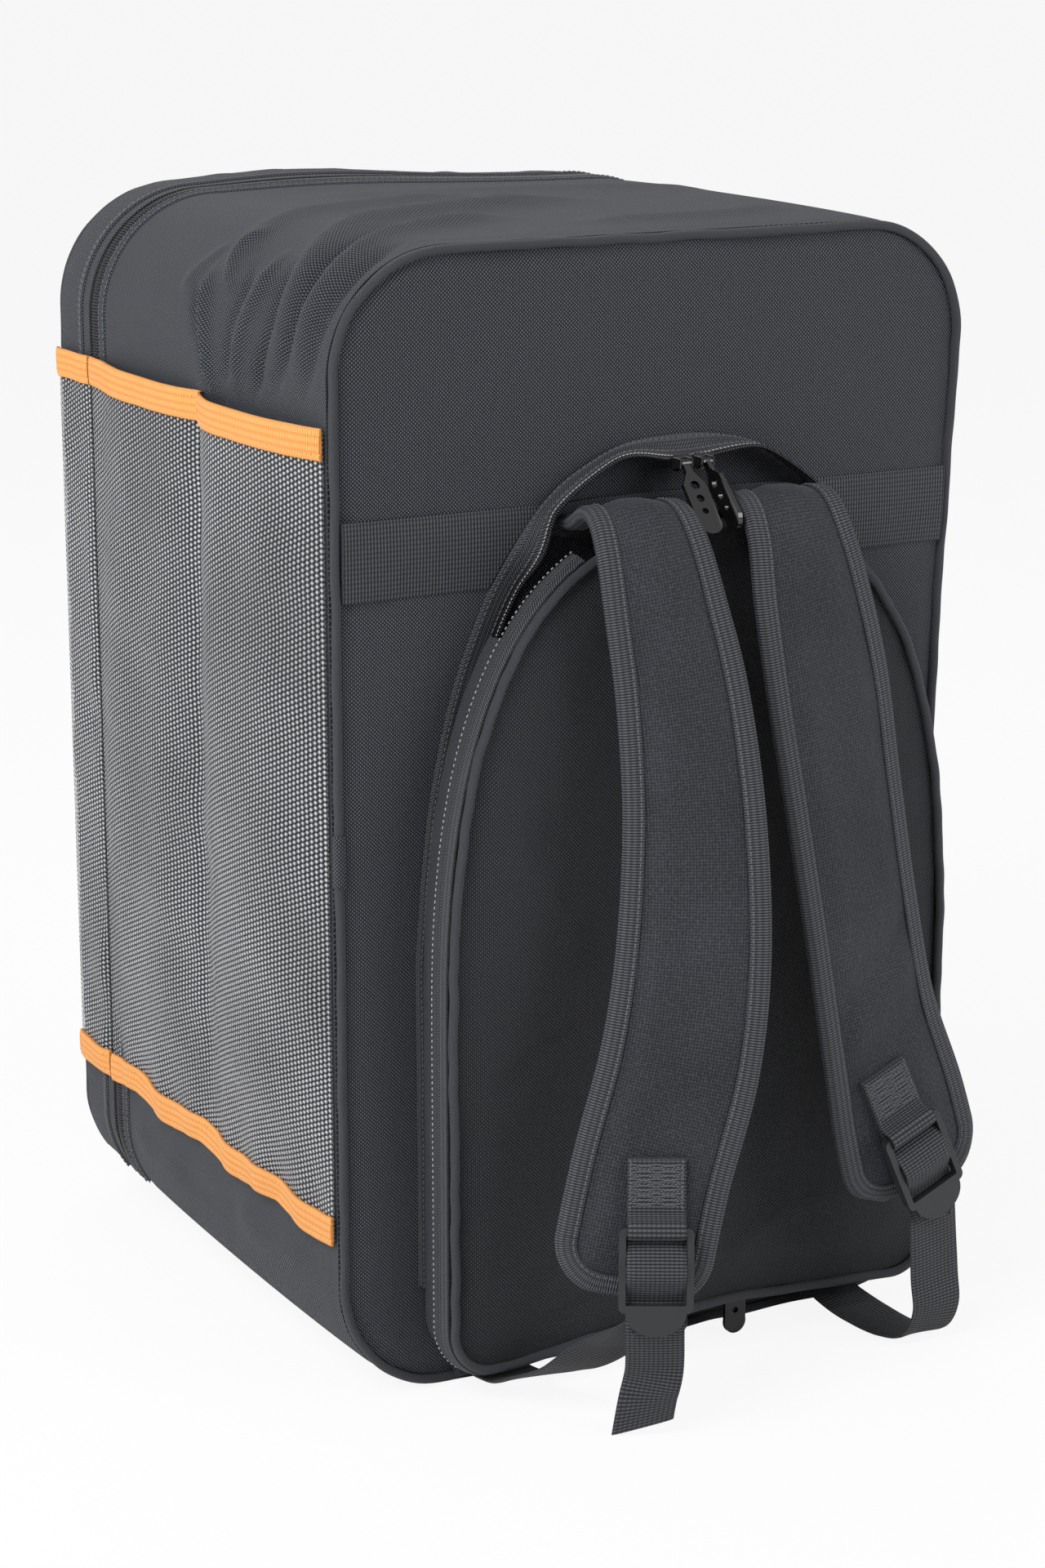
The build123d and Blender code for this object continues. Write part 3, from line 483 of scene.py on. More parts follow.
def side_at(z, inset):
    """Half width of the body's outline at a height."""
    radius = corner - inset
    rise = np.maximum(np.maximum(z - straight_z, corner - z), 0)
    return straight_x + np.sqrt(np.maximum(radius ** 2 - rise ** 2, 0))


def face_panel(name, y, depth, low_z, high_z, inset, lift, paint, body, node, crisp=50):
    """A panel inside the piping: lift(x, z) moves its outer face out, depth is its thickness towards +Y."""
    z = low_z + (high_z - low_z) * (0.5 - 0.5 * np.cos(np.linspace(0, pi, 121)))
    share = -np.cos(np.linspace(0, pi, 91))
    grid_share, grid_z = np.meshgrid(share, z)
    x = grid_share * side_at(grid_z, inset)
    outward = -1 if depth > 0 else 1
    outer = np.stack([x, y + outward * lift(x, grid_z), grid_z], axis=-1)
    inner = np.stack([x, np.full_like(x, y + depth), grid_z], axis=-1)
    piece = cloth(name, settle(outer), settle(inner), paint=paint, crisp=crisp,
                  flat=np.stack([x, grid_z], axis=-1))
    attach(piece, body)
    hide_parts(node)
    return piece


panel_cloth = woven("panel_oxford", (0.0018, 0.0021, 0.0030, 1), (0.130, 0.142, 0.170, 1))
rear_face = -half_depth + 0.001


def back_lift(x, z):
    edge = np.minimum(side_at(z, seam) - np.abs(x), np.minimum(body_height - seam - z, z - seam))
    dip = -0.0022 * (1 - smoothstep(0.0, 0.012, edge))
    return dip + 0.0004 * ripple(x, z, 3, 0.09)


face_panel("rear_panel", rear_face, 0.008, seam, body_height - seam, seam, back_lift, panel_cloth, "bag",
           "back_panel")


def ribbed(name, dark, light, along, across, rough=0.55, bump=0.0005, slant=0.0, sheen=0.05):
    """Woven webbing or tape: ribs at one pitch, broken at another, and slanted for a herringbone, with
    painted shade in the grooves and a painted highlight on the rib tops.
    """
    made, shader, wire = material(name)
    u, v = wire.cloth_map()
    fold = wire.maths("PINGPONG", u, across * 2) if slant else u
    rib = wire.maths("ABSOLUTE", wire.maths("SINE", (v + fold * slant) * (pi / along)))
    cord = wire.maths("ABSOLUTE", wire.maths("SINE", u * (pi / across)))
    height = rib * (0.55 + 0.45 * cord)
    fuzz = wire.noise(700.0)
    # Painted light: the colour follows the rib height, dark in the grooves as painted shade and light on the
    # rib tops as a painted highlight.
    share = wire.maths("MINIMUM", height ** 1.8 * (0.75 + fuzz * 0.5), 1.0)
    lift = wire.node("Bump", Height=height + fuzz * 0.25, Distance=bump, Strength=0.9)
    connect(shader, Base_Color=share.mix(dark, light), Roughness=rough + 0.15 * (1 - height), Normal=lift,
            Sheen_Weight=sheen, Sheen_Roughness=0.4, Specular_IOR_Level=0.4)
    return made


webbing_weave = ribbed("black_webbing", (0.0015, 0.0016, 0.0020, 1), (0.085, 0.090, 0.104, 1), 0.0018, 0.0024)
tape_weave = ribbed("zip_tape_weave", (0.0015, 0.0016, 0.0020, 1), (0.095, 0.100, 0.115, 1), 0.0016, 0.0024,
                    slant=0.8)

arch_centre, arch_half, arch_spring, arch_rise, arch_power = 0.008, 0.152, 0.200, 0.297, 2.3
band_low, band_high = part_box("back_band")[0].z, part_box("back_band")[1].z
z = np.linspace(band_low, band_high, 17)
share = np.linspace(0, 1, 30)
risen = (z - arch_spring) / arch_rise
reach = arch_half * np.maximum(1 - risen ** arch_power, 0) ** (1 / arch_power) + 0.001
bulge = np.sin(pi * np.linspace(0, 1, 17))[:, None] ** 0.5
parts = []
for side in (-1, 1):
    start = side * (side_at(z, seam) - 0.0004)
    end = arch_centre + side * reach
    x = start[:, None] + (end - start)[:, None] * share
    bow = 0.0011 + 0.0009 * bulge + 0.0003 * ripple(x, z[:, None], 5, 0.05)
    outer = np.stack([x, rear_face - bow, np.repeat(z[:, None], 30, 1)], axis=-1)
    inner = outer * (1, 0, 1) + (0, rear_face + 0.0008, 0)
    parts.append(cloth("band_part", settle(outer), settle(inner), paint=webbing_weave,
                       flat=np.stack([outer[..., 2], x], axis=-1)))


def join(name, parts):
    """One object from several, with their materials."""
    sheet = bmesh.new()
    mesh = bpy.data.meshes.new(name)
    for part in parts:
        for paint in part.data.materials:
            if paint.name not in mesh.materials:
                mesh.materials.append(paint)
        index = mesh.materials.find(part.data.materials[0].name) if part.data.materials else 0
        count = len(sheet.faces)
        sheet.from_mesh(part.data)
        sheet.faces.ensure_lookup_table()
        for face in sheet.faces[count:]:
            face.material_index = index
        bpy.data.objects.remove(part)
    sheet.to_mesh(mesh)
    sheet.free()
    piece = bpy.data.objects.new(name, mesh)
    bpy.context.scene.collection.objects.link(piece)
    return piece


def belong(piece, body, nodes=()):
    """Say which body a piece rides and which frame nodes it stands for."""
    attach(piece, body)
    if nodes:
        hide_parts(*([nodes] if isinstance(nodes, str) else nodes))
    return piece


belong(join("rear_webbing_band", parts), "bag", "back_band")


# ---- Piping -------------------------------------------------------------------------------------
# Cord in a bias strip of grey fabric, caught in the seam round each panel. A short sleeve of shell
# fabric covers the joint of its two ends on the rear left edge.
def fill_holes(mesh):
    """Close the mesh's open rims with faces."""
    sheet = bmesh.new()
    sheet.from_mesh(mesh)
    bmesh.ops.holes_fill(sheet, edges=[edge for edge in sheet.edges if edge.is_boundary], sides=0)
    sheet.to_mesh(mesh)
    sheet.free()


def tube(name, line, radius, paint, closed=False, sides=14, squash=1.0):
    """A round tube along a line, its UV in metres: u round it and v along it."""
    line = np.asarray(line, float)
    if closed:
        ahead, behind = np.roll(line, -1, 0), np.roll(line, 1, 0)
    else:
        ahead = np.vstack([line[1:], 2 * line[-1:] - line[-2:-1]])
        behind = np.vstack([2 * line[:1] - line[1:2], line[:-1]])
    tangent = ahead - behind
    tangent /= np.linalg.norm(tangent, axis=1)[:, None]
    out = np.zeros_like(line)
    guess = np.array([0.0, 1.0, 0.0]) if abs(tangent[0][1]) < 0.9 else np.array([1.0, 0.0, 0.0])
    for index, along in enumerate(tangent):
        guess = guess - along * guess.dot(along)
        guess /= np.linalg.norm(guess)
        out[index] = guess
    other = np.cross(tangent, out)
    angle = np.linspace(0, 2 * pi, sides, endpoint=False)
    grid = (line[:, None] + radius * (np.cos(angle)[None, :, None] * out[:, None]
                                      + squash * np.sin(angle)[None, :, None] * other[:, None]))
    piece = cloth(name, grid, wrap_rows=closed, wrap_columns=True, paint=paint)
    if not closed:
        fill_holes(piece.data)
    return piece


piping_cloth = woven("grey_piping", (0.022, 0.024, 0.029, 1), (0.125, 0.134, 0.152, 1), cell=0.0005,
                     rough=0.42)
cord_radius = 0.0025


def outline_line(y, inset, low_z=None, high_z=None, count=420):
    """The outline's points at a depth, all round, or the run that lies above or below a height."""
    spot, normal, _ = around(count)
    moved = spot - normal * inset
    line = np.stack([moved[:, 0], np.full(count, y), moved[:, 1]], axis=-1)
    if low_z is None and high_z is None:
        return settle(line)
    keep = np.where(spot[:, 1] > low_z)[0] if low_z is not None else np.where(spot[:, 1] < high_z)[0]
    gaps = np.where(np.diff(keep) > 1)[0]
    if len(gaps):
        keep = np.concatenate([keep[gaps[0] + 1:], keep[:gaps[0] + 1]])
    return settle(line[keep])


def loose(line, seed, size=0.0004):
    """The line with the small unevenness of sewn piping."""
    along = lengths_along(line)
    shift = np.stack([ripple(along, along * 0, seed + k, 0.035, 8) for k in range(3)], axis=-1)
    return line + shift * size


rear_cord_y = -half_depth + cord_radius
front_cord_y = half_depth - cord_radius
line = loose(outline_line(rear_cord_y, cord_radius), 21)
belong(tube("rear_piping", line, cord_radius, piping_cloth, closed=True), "bag", "back_piping")
fold_z, fold_gap = 0.024, 0.0003
line = loose(outline_line(front_cord_y, cord_radius, low_z=fold_z + fold_gap), 25)
belong(tube("lid_edge_piping", line, cord_radius, piping_cloth), "lid", "lid_piping")
line = loose(outline_line(front_cord_y, cord_radius, high_z=fold_z - fold_gap), 29)
belong(tube("sill_edge_piping", line, cord_radius, piping_cloth), "bag", "sill_piping")
sleeve_low, sleeve_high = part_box("piping_sleeve")[0].z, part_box("piping_sleeve")[1].z
z = np.linspace(sleeve_low, sleeve_high, 12)
sleeve_line = settle(np.stack([np.full(12, -half_width + cord_radius), np.full(12, rear_cord_y), z], axis=-1))
belong(tube("piping_joint_sleeve", sleeve_line, cord_radius + 0.0007, oxford, sides=20), "bag",
       "piping_sleeve")


# ---- Stitches and other repeats -----------------------------------------------------------------
# Thread and coil are small shapes set along lines by one Geometry Nodes tree: the line is divided
# by length, and each copy is turned to the line and to the fabric's outward direction.
def repeat_tree():
    tree = bpy.data.node_groups.new("repeat_along", "GeometryNodeTree")
    kinds = {"Geometry": "Geometry", "Shape": "Object", "Pitch": "Float", "Paint": "Material",
             "Turn": "Float", "Seed": "Int"}
    for name, kind in kinds.items():
        tree.interface.new_socket(name, in_out="INPUT", socket_type="NodeSocket" + kind)
    tree.interface.new_socket("Geometry", in_out="OUTPUT", socket_type="NodeSocketGeometry")

    def add(kind, **settings):
        node = tree.nodes.new(kind)
        for key, value in settings.items():
            setattr(node, key, value)
        return node

    def link(start, output, end, socket):
        tree.links.new(start.outputs[output], end.inputs[socket])

    given, result = add("NodeGroupInput"), add("NodeGroupOutput")
    curve = add("GeometryNodeMeshToCurve")
    divided = add("GeometryNodeResampleCurve", mode="LENGTH")
    up = add("GeometryNodeInputNamedAttribute", data_type="FLOAT_VECTOR")
    up.inputs["Name"].default_value = "up"
    along = add("GeometryNodeInputTangent")
    square = add("FunctionNodeAxesToRotation", primary_axis="Z", secondary_axis="X")
    chance = add("FunctionNodeRandomValue", data_type="FLOAT_VECTOR")
    spread = add("ShaderNodeVectorMath", operation="SCALE")
    euler = add("FunctionNodeEulerToRotation")
    turned = add("FunctionNodeRotateRotation", rotation_space="LOCAL")
    shape = add("GeometryNodeObjectInfo")
    copies = add("GeometryNodeInstanceOnPoints")
    whole = add("GeometryNodeRealizeInstances")
    painted = add("GeometryNodeSetMaterial")
    chance.inputs[0].default_value = (-1, -1, -1)
    chance.inputs[1].default_value = (1, 1, 1)
    link(given, "Geometry", curve, "Mesh")
    link(curve, "Curve", divided, "Curve")
    link(given, "Pitch", divided, "Length")
    link(up, "Attribute", square, "Primary Axis")
    link(along, "Tangent", square, "Secondary Axis")
    link(given, "Seed", chance, "Seed")
    link(chance, 0, spread, 0)
    link(given, "Turn", spread, "Scale")
    link(spread, "Vector", euler, "Euler")
    link(square, "Rotation", turned, "Rotation")
    link(euler, "Rotation", turned, "Rotate By")
    link(given, "Shape", shape, "Object")
    link(divided, "Curve", copies, "Points")
    link(shape, "Geometry", copies, "Instance")
    link(turned, "Rotation", copies, "Rotation")
    link(copies, "Instances", whole, "Geometry")
    link(whole, "Geometry", painted, "Geometry")
    link(given, "Paint", painted, "Material")
    link(painted, "Geometry", result, "Geometry")
    return tree


repeating = repeat_tree()


def bead(name, length, width, height, segments=6, rings=4):
    """A smooth seed shape, long in X and domed in Z, such as one stitch of thread or one turn of coil."""
    sheet = bmesh.new()
    bmesh.ops.create_uvsphere(sheet, u_segments=segments, v_segments=rings, radius=0.5,
                              matrix=Matrix.Rotation(pi / 2, 4, "Y"))
    for vertex in sheet.verts:
        blunt = max(abs(vertex.co.x) * 2, 0.001) ** -0.45 if abs(vertex.co.x) > 0.05 else 1
        vertex.co = (vertex.co.x * min(blunt, 1.6) * length, vertex.co.y * width, vertex.co.z * height)
    mesh = bpy.data.meshes.new(name)
    for face in sheet.faces:
        face.smooth = True
    sheet.to_mesh(mesh)
    sheet.free()
    shape = bpy.data.objects.new(name, mesh)
    bpy.context.scene.collection.objects.link(shape)
    return shape


def repeat(name, rows, shape, pitch, paint, turn=0.06, seed=1):
    """Copies of a shape along rows, each given as (points, outward directions)."""
    points, ups, edges = [], [], []
    for line, up in rows:
        start = len(points)
        line, up = np.asarray(line, float), np.asarray(up, float)
        points += line.tolist()
        ups += np.broadcast_to(up, line.shape).tolist()
        edges += [(start + k, start + k + 1) for k in range(len(line) - 1)]
    mesh = bpy.data.meshes.new(name)
    mesh.from_pydata(points, edges, [])
    mesh.attributes.new("up", "FLOAT_VECTOR", "POINT").data.foreach_set("vector", np.array(ups).reshape(-1))
    piece = bpy.data.objects.new(name, mesh)
    bpy.context.scene.collection.objects.link(piece)
    modifier = piece.modifiers.new("repeat", "NODES")
    modifier.node_group = repeating
    values = {"Shape": shape, "Pitch": pitch, "Paint": paint, "Turn": turn, "Seed": seed}
    for item in repeating.interface.items_tree:
        if item.in_out == "INPUT" and item.name in values:
            modifier[item.identifier] = values[item.name]
    bpy.context.view_layer.update()
    whole = bpy.data.meshes.new_from_object(piece.evaluated_get(bpy.context.evaluated_depsgraph_get()))
    piece.modifiers.clear()
    piece.data = whole
    return piece


def thread(name, colour, rough=0.5):
    made, shader, wire = material(name)
    twist = wire.noise(1500.0, 1.0)
    connect(shader, Base_Color=twist.mix([c * 0.6 for c in colour[:3]] + [1], colour), Roughness=rough,
            Sheen_Weight=0.2)
    return made


black_thread = thread("black_thread", (0.120, 0.125, 0.140, 1))
grey_thread = thread("grey_thread", (0.52, 0.53, 0.55, 1))
orange_thread = thread("orange_thread", (0.95, 0.50, 0.16, 1))
long_stitch = bead("stitch_shape", 0.0026, 0.0007, 0.0008)
short_stitch = bead("short_stitch_shape", 0.0017, 0.0007, 0.0008)


# ---- Arch zip -----------------------------------------------------------------------------------
# The zip of the harness cover: a herringbone tape sewn to the back panel in an arch, lying flat at
# the sides and standing out as a lip over the straps, with a nylon coil along its inner edge.
# The tape lies flat beyond lip_start from the arch's middle, and stands up fully within lip_full.
lip_start, lip_full, lip_middle = 0.106, 0.078, 0.046
lip_lean, middle_lean = 86, 42
tape_foot_y = rear_face - 0.0009


def arch_station(angle):
    """Foot of the tape on the panel and its direction across, at an angle from 0 to 180."""
    def spot(at):
        run, lift = cos(radians(at)), sin(radians(at))
        side = abs(run) ** (2 / arch_power) * (1 if run >= 0 else -1)
        rise = arch_rise * max(lift, 0) ** (2 / arch_power)
        return np.array([arch_centre + arch_half * side, 0, arch_spring + rise])

    place = spot(angle)
    along = spot(min(angle + 0.5, 180)) - spot(max(angle - 0.5, 0))
    along /= np.linalg.norm(along)
    inside = np.cross([0, 1, 0], along)
    if inside.dot(np.array([arch_centre, 0, arch_spring]) - place) < 0:
        inside = -inside
    reach = abs(place[0] - arch_centre)
    share = min(max((lip_start - reach) / (lip_start - lip_full), 0), 1)
    droop = max(1 - reach / lip_middle, 0)
    lean = lip_lean - (lip_lean - middle_lean) * droop * droop * (3 - 2 * droop)
    lift = radians(lean) * share * share * (3 - 2 * share)
    across = inside * cos(lift) + np.array([0, -1, 0]) * sin(lift)
    return place + (0, tape_foot_y, 0), across


stations = [(np.array([arch_centre + arch_half, tape_foot_y, z]), np.array([-1.0, 0, 0]))
            for z in np.linspace(0.059, 0.196, 24)]
stations += [arch_station(angle) for angle in np.linspace(1, 179, 140)]
stations += [(np.array([arch_centre - arch_half, tape_foot_y, z]), np.array([1.0, 0, 0]))
             for z in np.linspace(0.196, 0.059, 24)]
feet = np.array([place for place, _ in stations])
inward = np.array([across for _, across in stations])
tape_tangent = np.gradient(feet, axis=0)
tape_tangent /= np.linalg.norm(tape_tangent, axis=1)[:, None]
inward -= tape_tangent * np.sum(inward * tape_tangent, axis=1)[:, None]
inward /= np.linalg.norm(inward, axis=1)[:, None]
tape_out = np.cross(tape_tangent, inward)
tape_out *= np.sign(np.sum(tape_out * (0, -1, 0.35), axis=1))[:, None]
tape_run = lengths_along(feet)


def on_tape(across, out=0.0):
    """A line along the arch tape, across from its outer edge and out from its face."""
    wave = 0.0005 * ripple(tape_run, np.full_like(tape_run, across), 41, 0.06)[:, None]
    return feet + inward * across + tape_out * (out + wave)


columns = np.linspace(0, 0.0145, 12)
outer = np.stack([on_tape(a, 0.0007 + 0.0006 * (1 if 0.0012 < a < 0.0125 else 0)) for a in columns], axis=1)
inner = np.stack([on_tape(a, -0.0004) for a in columns], axis=1)
belong(cloth("arch_tape", outer, inner, paint=tape_weave), "bag", "arch_zip_tape")
coil_turn = bead("coil_turn_shape", 0.0011, 0.0030, 0.0022, segments=8, rings=5)
coil_plastic, shader, wire = material("nylon_coil")
connect(shader, Base_Color=(0.014, 0.014, 0.017, 1), Roughness=0.34, Specular_IOR_Level=0.5)
belong(repeat("arch_coil", [(on_tape(0.0155, 0.0006), tape_out)], coil_turn, 0.0014, coil_plastic, turn=0.03),
       "bag", "arch_zip_teeth")
belong(repeat("arch_stitches", [(on_tape(0.0025, 0.0014), tape_out), (on_tape(0.0105, 0.0014), tape_out)],
              long_stitch, 0.0034, black_thread, seed=4), "bag")
belong(repeat("arch_coil_stitches", [(on_tape(0.0136, 0.0011), tape_out)], short_stitch, 0.0022,
              grey_thread, seed=5), "bag")


# ---- Harness cover ------------------------------------------------------------------------------
# A shallow lid of padded oxford with a soft gusset, piped round its front edge. The straps leave it
# through the open top of the gusset, and a zip puller hangs out of a gap in its bottom.
cover_centre, cover_half, cover_rise, cover_power = 0.011, 0.152, 0.258, 2.6
cover_bottom, cover_corner = 0.021, 0.028
cover_seam_y = -half_depth - 0.028
cover_cord_y = -half_depth - 0.0305


def cover_loop(count, inset):
    """The cover's outline as (x, z) points, clockwise from the bottom's middle, and its outward normals."""
    angle = np.radians(np.linspace(180, 0, 361))
    run, lift = np.cos(angle), np.sin(angle)
    x = cover_centre + cover_half * np.sign(run) * np.abs(run) ** (2 / cover_power)
    z = arch_spring + cover_rise * np.maximum(lift, 0) ** (2 / cover_power)
    left, right = cover_centre - cover_half, cover_centre + cover_half
    turn = np.radians(np.linspace(0, 90, 16))
    start = [(cover_centre, cover_bottom), (left + cover_corner, cover_bottom)]
    start += [(left + cover_corner * (1 - sin(a)), cover_bottom + cover_corner * (1 - cos(a))) for a in turn]
    end = [(right - cover_corner * (1 - cos(a)), cover_bottom + cover_corner * (1 - sin(a))) for a in turn]
    end += [(right - cover_corner, cover_bottom), (cover_centre, cover_bottom)]
    line = np.array(start + list(zip(x, z)) + end)
    line = line[np.concatenate([[True], np.linalg.norm(np.diff(line, axis=0), axis=1) > 1e-6])]
    far = lengths_along(line)
    at = np.linspace(0, far[-1], count, endpoint=False)
    spot = np.stack([np.interp(at, far, line[:, k]) for k in (0, 1)], axis=-1)
    along = np.roll(spot, -1, 0) - np.roll(spot, 1, 0)
    along /= np.linalg.norm(along, axis=1)[:, None]
    normal = np.stack([-along[:, 1], along[:, 0]], axis=-1)
    return spot - normal * inset, normal


def cover_sag(points):
    """The hanging cover's lower left corner droops and its bottom edge dips at both ends."""
    points = np.array(points, float)
    x, z = points[..., 0], points[..., 2]
    low = 1 - smoothstep(0.02, 0.12, z)
    left_droop = 0.0065 * (1 - smoothstep(-0.13, -0.03, x))
    right_droop = 0.002 * smoothstep(0.05, 0.14, x)
    droop = left_droop + right_droop - 0.004 * np.exp(-((x - 0.03) / 0.05) ** 2)
    points[..., 2] = np.maximum(z - droop * low, 0.0015)
    return points


count = 400
ring, ring_out = cover_loop(count, 0.0045)
steps = 1 - np.concatenate([np.linspace(0, 0.12, 16), np.linspace(0.12, 1.0, 46)[1:-1]])
hub = np.array([cover_centre, 0.245])
grid = hub + (ring - hub) * steps[:, None, None]
x, z = grid[..., 0], grid[..., 1]
from_edge = np.broadcast_to((1 - steps)[:, None], x.shape) * np.linalg.norm(ring - hub, axis=1)[None]
puffed = 0.0052 * smoothstep(0, 0.030, from_edge) ** 0.8
wrinkles = 0.0010 * ripple(x, z, 11, 0.10) + 0.0006 * ripple(x, z, 12, 0.045)
# Creases of the cover as (line, width, height), each line through (x, z).
cover_creases = [
    ([(-0.13, 0.30), (-0.09, 0.28), (-0.06, 0.23)], 0.009, 0.0018),
    ([(-0.13, 0.16), (-0.09, 0.19), (-0.05, 0.20)], 0.008, -0.0018),
    ([(-0.125, 0.055), (-0.08, 0.085), (-0.02, 0.13)], 0.009, 0.0024),
    ([(-0.10, 0.040), (-0.05, 0.052), (0.0, 0.080)], 0.007, -0.0020),
    ([(0.00, 0.09), (0.02, 0.20), (0.045, 0.30)], 0.010, 0.0020),
    ([(-0.005, 0.10), (0.012, 0.20), (0.02, 0.28)], 0.006, -0.0014),
    ([(0.02, 0.05), (0.06, 0.070), (0.10, 0.075)], 0.008, 0.0020),
    ([(0.13, 0.12), (0.147, 0.18), (0.152, 0.25)], 0.006, 0.0018),
    ([(-0.01, 0.40), (0.01, 0.33), (0.03, 0.25)], 0.008, -0.0016),
    ([(-0.10, 0.36), (-0.12, 0.32), (-0.128, 0.25)], 0.006, 0.0014),
]
for line, width, height in cover_creases:
    wrinkles = wrinkles + crease(x, z, line, width, height)
y_outer = cover_cord_y + 0.0015 - puffed - wrinkles * smoothstep(0, 0.02, from_edge)
outer = np.stack([x, y_outer, z], axis=-1)
inner = np.stack([x, np.full_like(x, cover_cord_y + 0.0045), z], axis=-1)
# Painted shade: the cover is the shell's oxford again, its colours darkened to about half to stand for the
# shade the straps cast over it.
cover_shaded_cloth = woven("cover_oxford_painted_shade", (0.0014, 0.0016, 0.0022, 1), (0.060, 0.066, 0.080, 1))
front = cloth("cover_front", cover_sag(outer), cover_sag(inner), wrap_columns=True, paint=cover_shaded_cloth,
              flat=grid)
fill_holes(front.data)
belong(front, "bag", "cover_panel")


def kept_runs(keep):
    """The unbroken runs of a closed ring's kept points, joined where one passes the ring's start."""
    runs = np.split(np.arange(len(keep)), np.where(np.diff(keep.astype(int)) != 0)[0] + 1)
    runs = [run for run in runs if keep[run[0]]]
    if keep[0] and keep[-1] and len(runs) > 1:
        runs[0] = np.concatenate([runs.pop(), runs[0]])
    return runs


ring, ring_out = cover_loop(count, 0.0)
depth = np.linspace(-half_depth - 0.0018, cover_seam_y, 14)
share = np.linspace(0, 1, 14)[:, None]
unevenness = ripple(np.arange(count)[None] * 0.0031, share * 0.03, 17, 0.05)
swell = (0.0016 + 0.0009 * unevenness) * np.sin(pi * share)
parts = []
slot_low, slot_high = 0.017, 0.061
bottom = ring[:, 1] < cover_bottom + 0.002
mouth = (np.abs(ring[:, 0] - cover_centre) < 0.112) & (ring[:, 1] > arch_spring)
slotted = bottom & (ring[:, 0] > slot_low) & (ring[:, 0] < slot_high)
for run in kept_runs(~(mouth | slotted)):
    spot, normal = ring[run], ring_out[run]
    outer = np.stack([spot[None, :, 0] + normal[None, :, 0] * swell[:, run],
                      np.repeat(depth[:, None], len(run), 1),
                      spot[None, :, 1] + normal[None, :, 1] * swell[:, run]], axis=-1)
    spot = spot - normal * 0.002
    inner = np.stack([np.repeat(spot[None, :, 0], 14, 0), outer[..., 1],
                      np.repeat(spot[None, :, 1], 14, 0)], axis=-1)
    parts.append(cloth("gusset_part", cover_sag(outer), cover_sag(inner), paint=oxford))
belong(join("cover_side", parts), "bag", "cover_gusset")

# A ribbed tape runs round the gusset beside the piping, and on past the ends of the mouth.
parts = []
tape_mouth = (np.abs(ring[:, 0] - cover_centre) < 0.072) & (ring[:, 1] > arch_spring)
runs = kept_runs(~(tape_mouth | slotted))
depth = np.linspace(cover_seam_y + 0.0125, cover_seam_y - 0.0008, 8)
rise = np.array([0.0012, 0.0030, 0.0034, 0.0034, 0.0032, 0.0028, 0.0022, 0.0012])
for run in runs:
    skins = []
    for lift in (rise, rise - 0.0009):
        spot = ring[run][:, None] + ring_out[run][:, None] * (lift - 0.0004)[None, :, None]
        y = np.repeat(depth[None], len(run), 0)
        skins.append(cover_sag(np.stack([spot[..., 0], y, spot[..., 1]], axis=-1)))
    parts.append(cloth("tape_part", skins[0], skins[1], paint=tape_weave))
belong(join("cover_side_tape", parts), "bag")
spot = ring + ring_out * 0.0032
run = runs[0]
y = np.full(len(run), cover_seam_y + 0.0105)
line = cover_sag(np.stack([spot[run, 0], y, spot[run, 1]], axis=-1))
up = np.stack([ring_out[run, 0], np.zeros(len(run)), ring_out[run, 1]], axis=-1)
belong(repeat("cover_tape_stitches", [(line, up)], short_stitch, 0.0032, grey_thread, seed=6), "bag")

ring, _ = cover_loop(count, cord_radius)
line = cover_sag(np.stack([ring[:, 0], np.full(count, cover_cord_y), ring[:, 1]], axis=-1))
belong(tube("cover_edge_piping", loose(line, 33), cord_radius, piping_cloth, closed=True), "bag",
       "cover_piping")


# ---- Strips -------------------------------------------------------------------------------------
# Webbing and padded straps follow a smooth line through space, turned to face the way they hang.
def square_frame(line, across):
    """Unit directions across and out from a line, square to it."""
    tangent = np.gradient(line, axis=0)
    tangent /= np.linalg.norm(tangent, axis=1)[:, None]
    across = np.array(np.broadcast_to(across, line.shape), float)
    across -= tangent * np.sum(across * tangent, axis=1)[:, None]
    across /= np.linalg.norm(across, axis=1)[:, None]
    return across, np.cross(tangent, across)


def strip(name, line, across, width, thickness, paint, columns=13, crown=0.0, skew=0.0, wave=0.0, seed=1):
    """A flat length of webbing along a line. skew cuts its last end at a slant, crown bows it outwards."""
    line = np.asarray(line, float)
    across, out = square_frame(line, across)
    share = np.linspace(-0.5, 0.5, columns)
    width = np.broadcast_to(width, len(line))
    run = lengths_along(line)
    place = line[:, None] + across[:, None] * (width[:, None] * share)[..., None]
    if skew:
        tangent = np.gradient(line, axis=0)[-1]
        tangent /= np.linalg.norm(tangent)
        reach = smoothstep(run[-1] - 0.03, run[-1], run)
        place = place + tangent * (skew * share[None, :] * reach[:, None])[..., None]
    rise = crown * (1 - (2 * share) ** 2)[None]
    rise = rise + wave * ripple(run[:, None], share[None] * width[0], seed, 0.04)
    edge = 1 - 0.45 * smoothstep(0.42, 0.5, np.abs(share))[None]
    outer = place + out[:, None] * (rise + thickness / 2 * edge)[..., None]
    inner = place + out[:, None] * (rise - thickness / 2 * edge)[..., None]
    return cloth(name, outer, inner, paint=paint)


# ---- Yoke and shoulder straps -------------------------------------------------------------------
# Two foam straps faced with smooth spacer mesh, bound with a ribbed tape that is folded over their
# edges and stitched along its inner side. Both are sewn to a padded block behind the cover's mouth.
x = np.linspace(-0.069, 0.081, 60)
end = 1 - 0.35 * np.abs(np.linspace(-1, 1, 60)) ** 6
line = np.stack([x, np.full(60, -half_depth - 0.0027), np.full(60, 0.459)], axis=-1)
yoke = strip("strap_yoke_pad", line, (0, 0, -1), 0.020 * end, 0.0048, panel_cloth, columns=15, crown=0.0006)
belong(yoke, "bag", "strap_yoke")

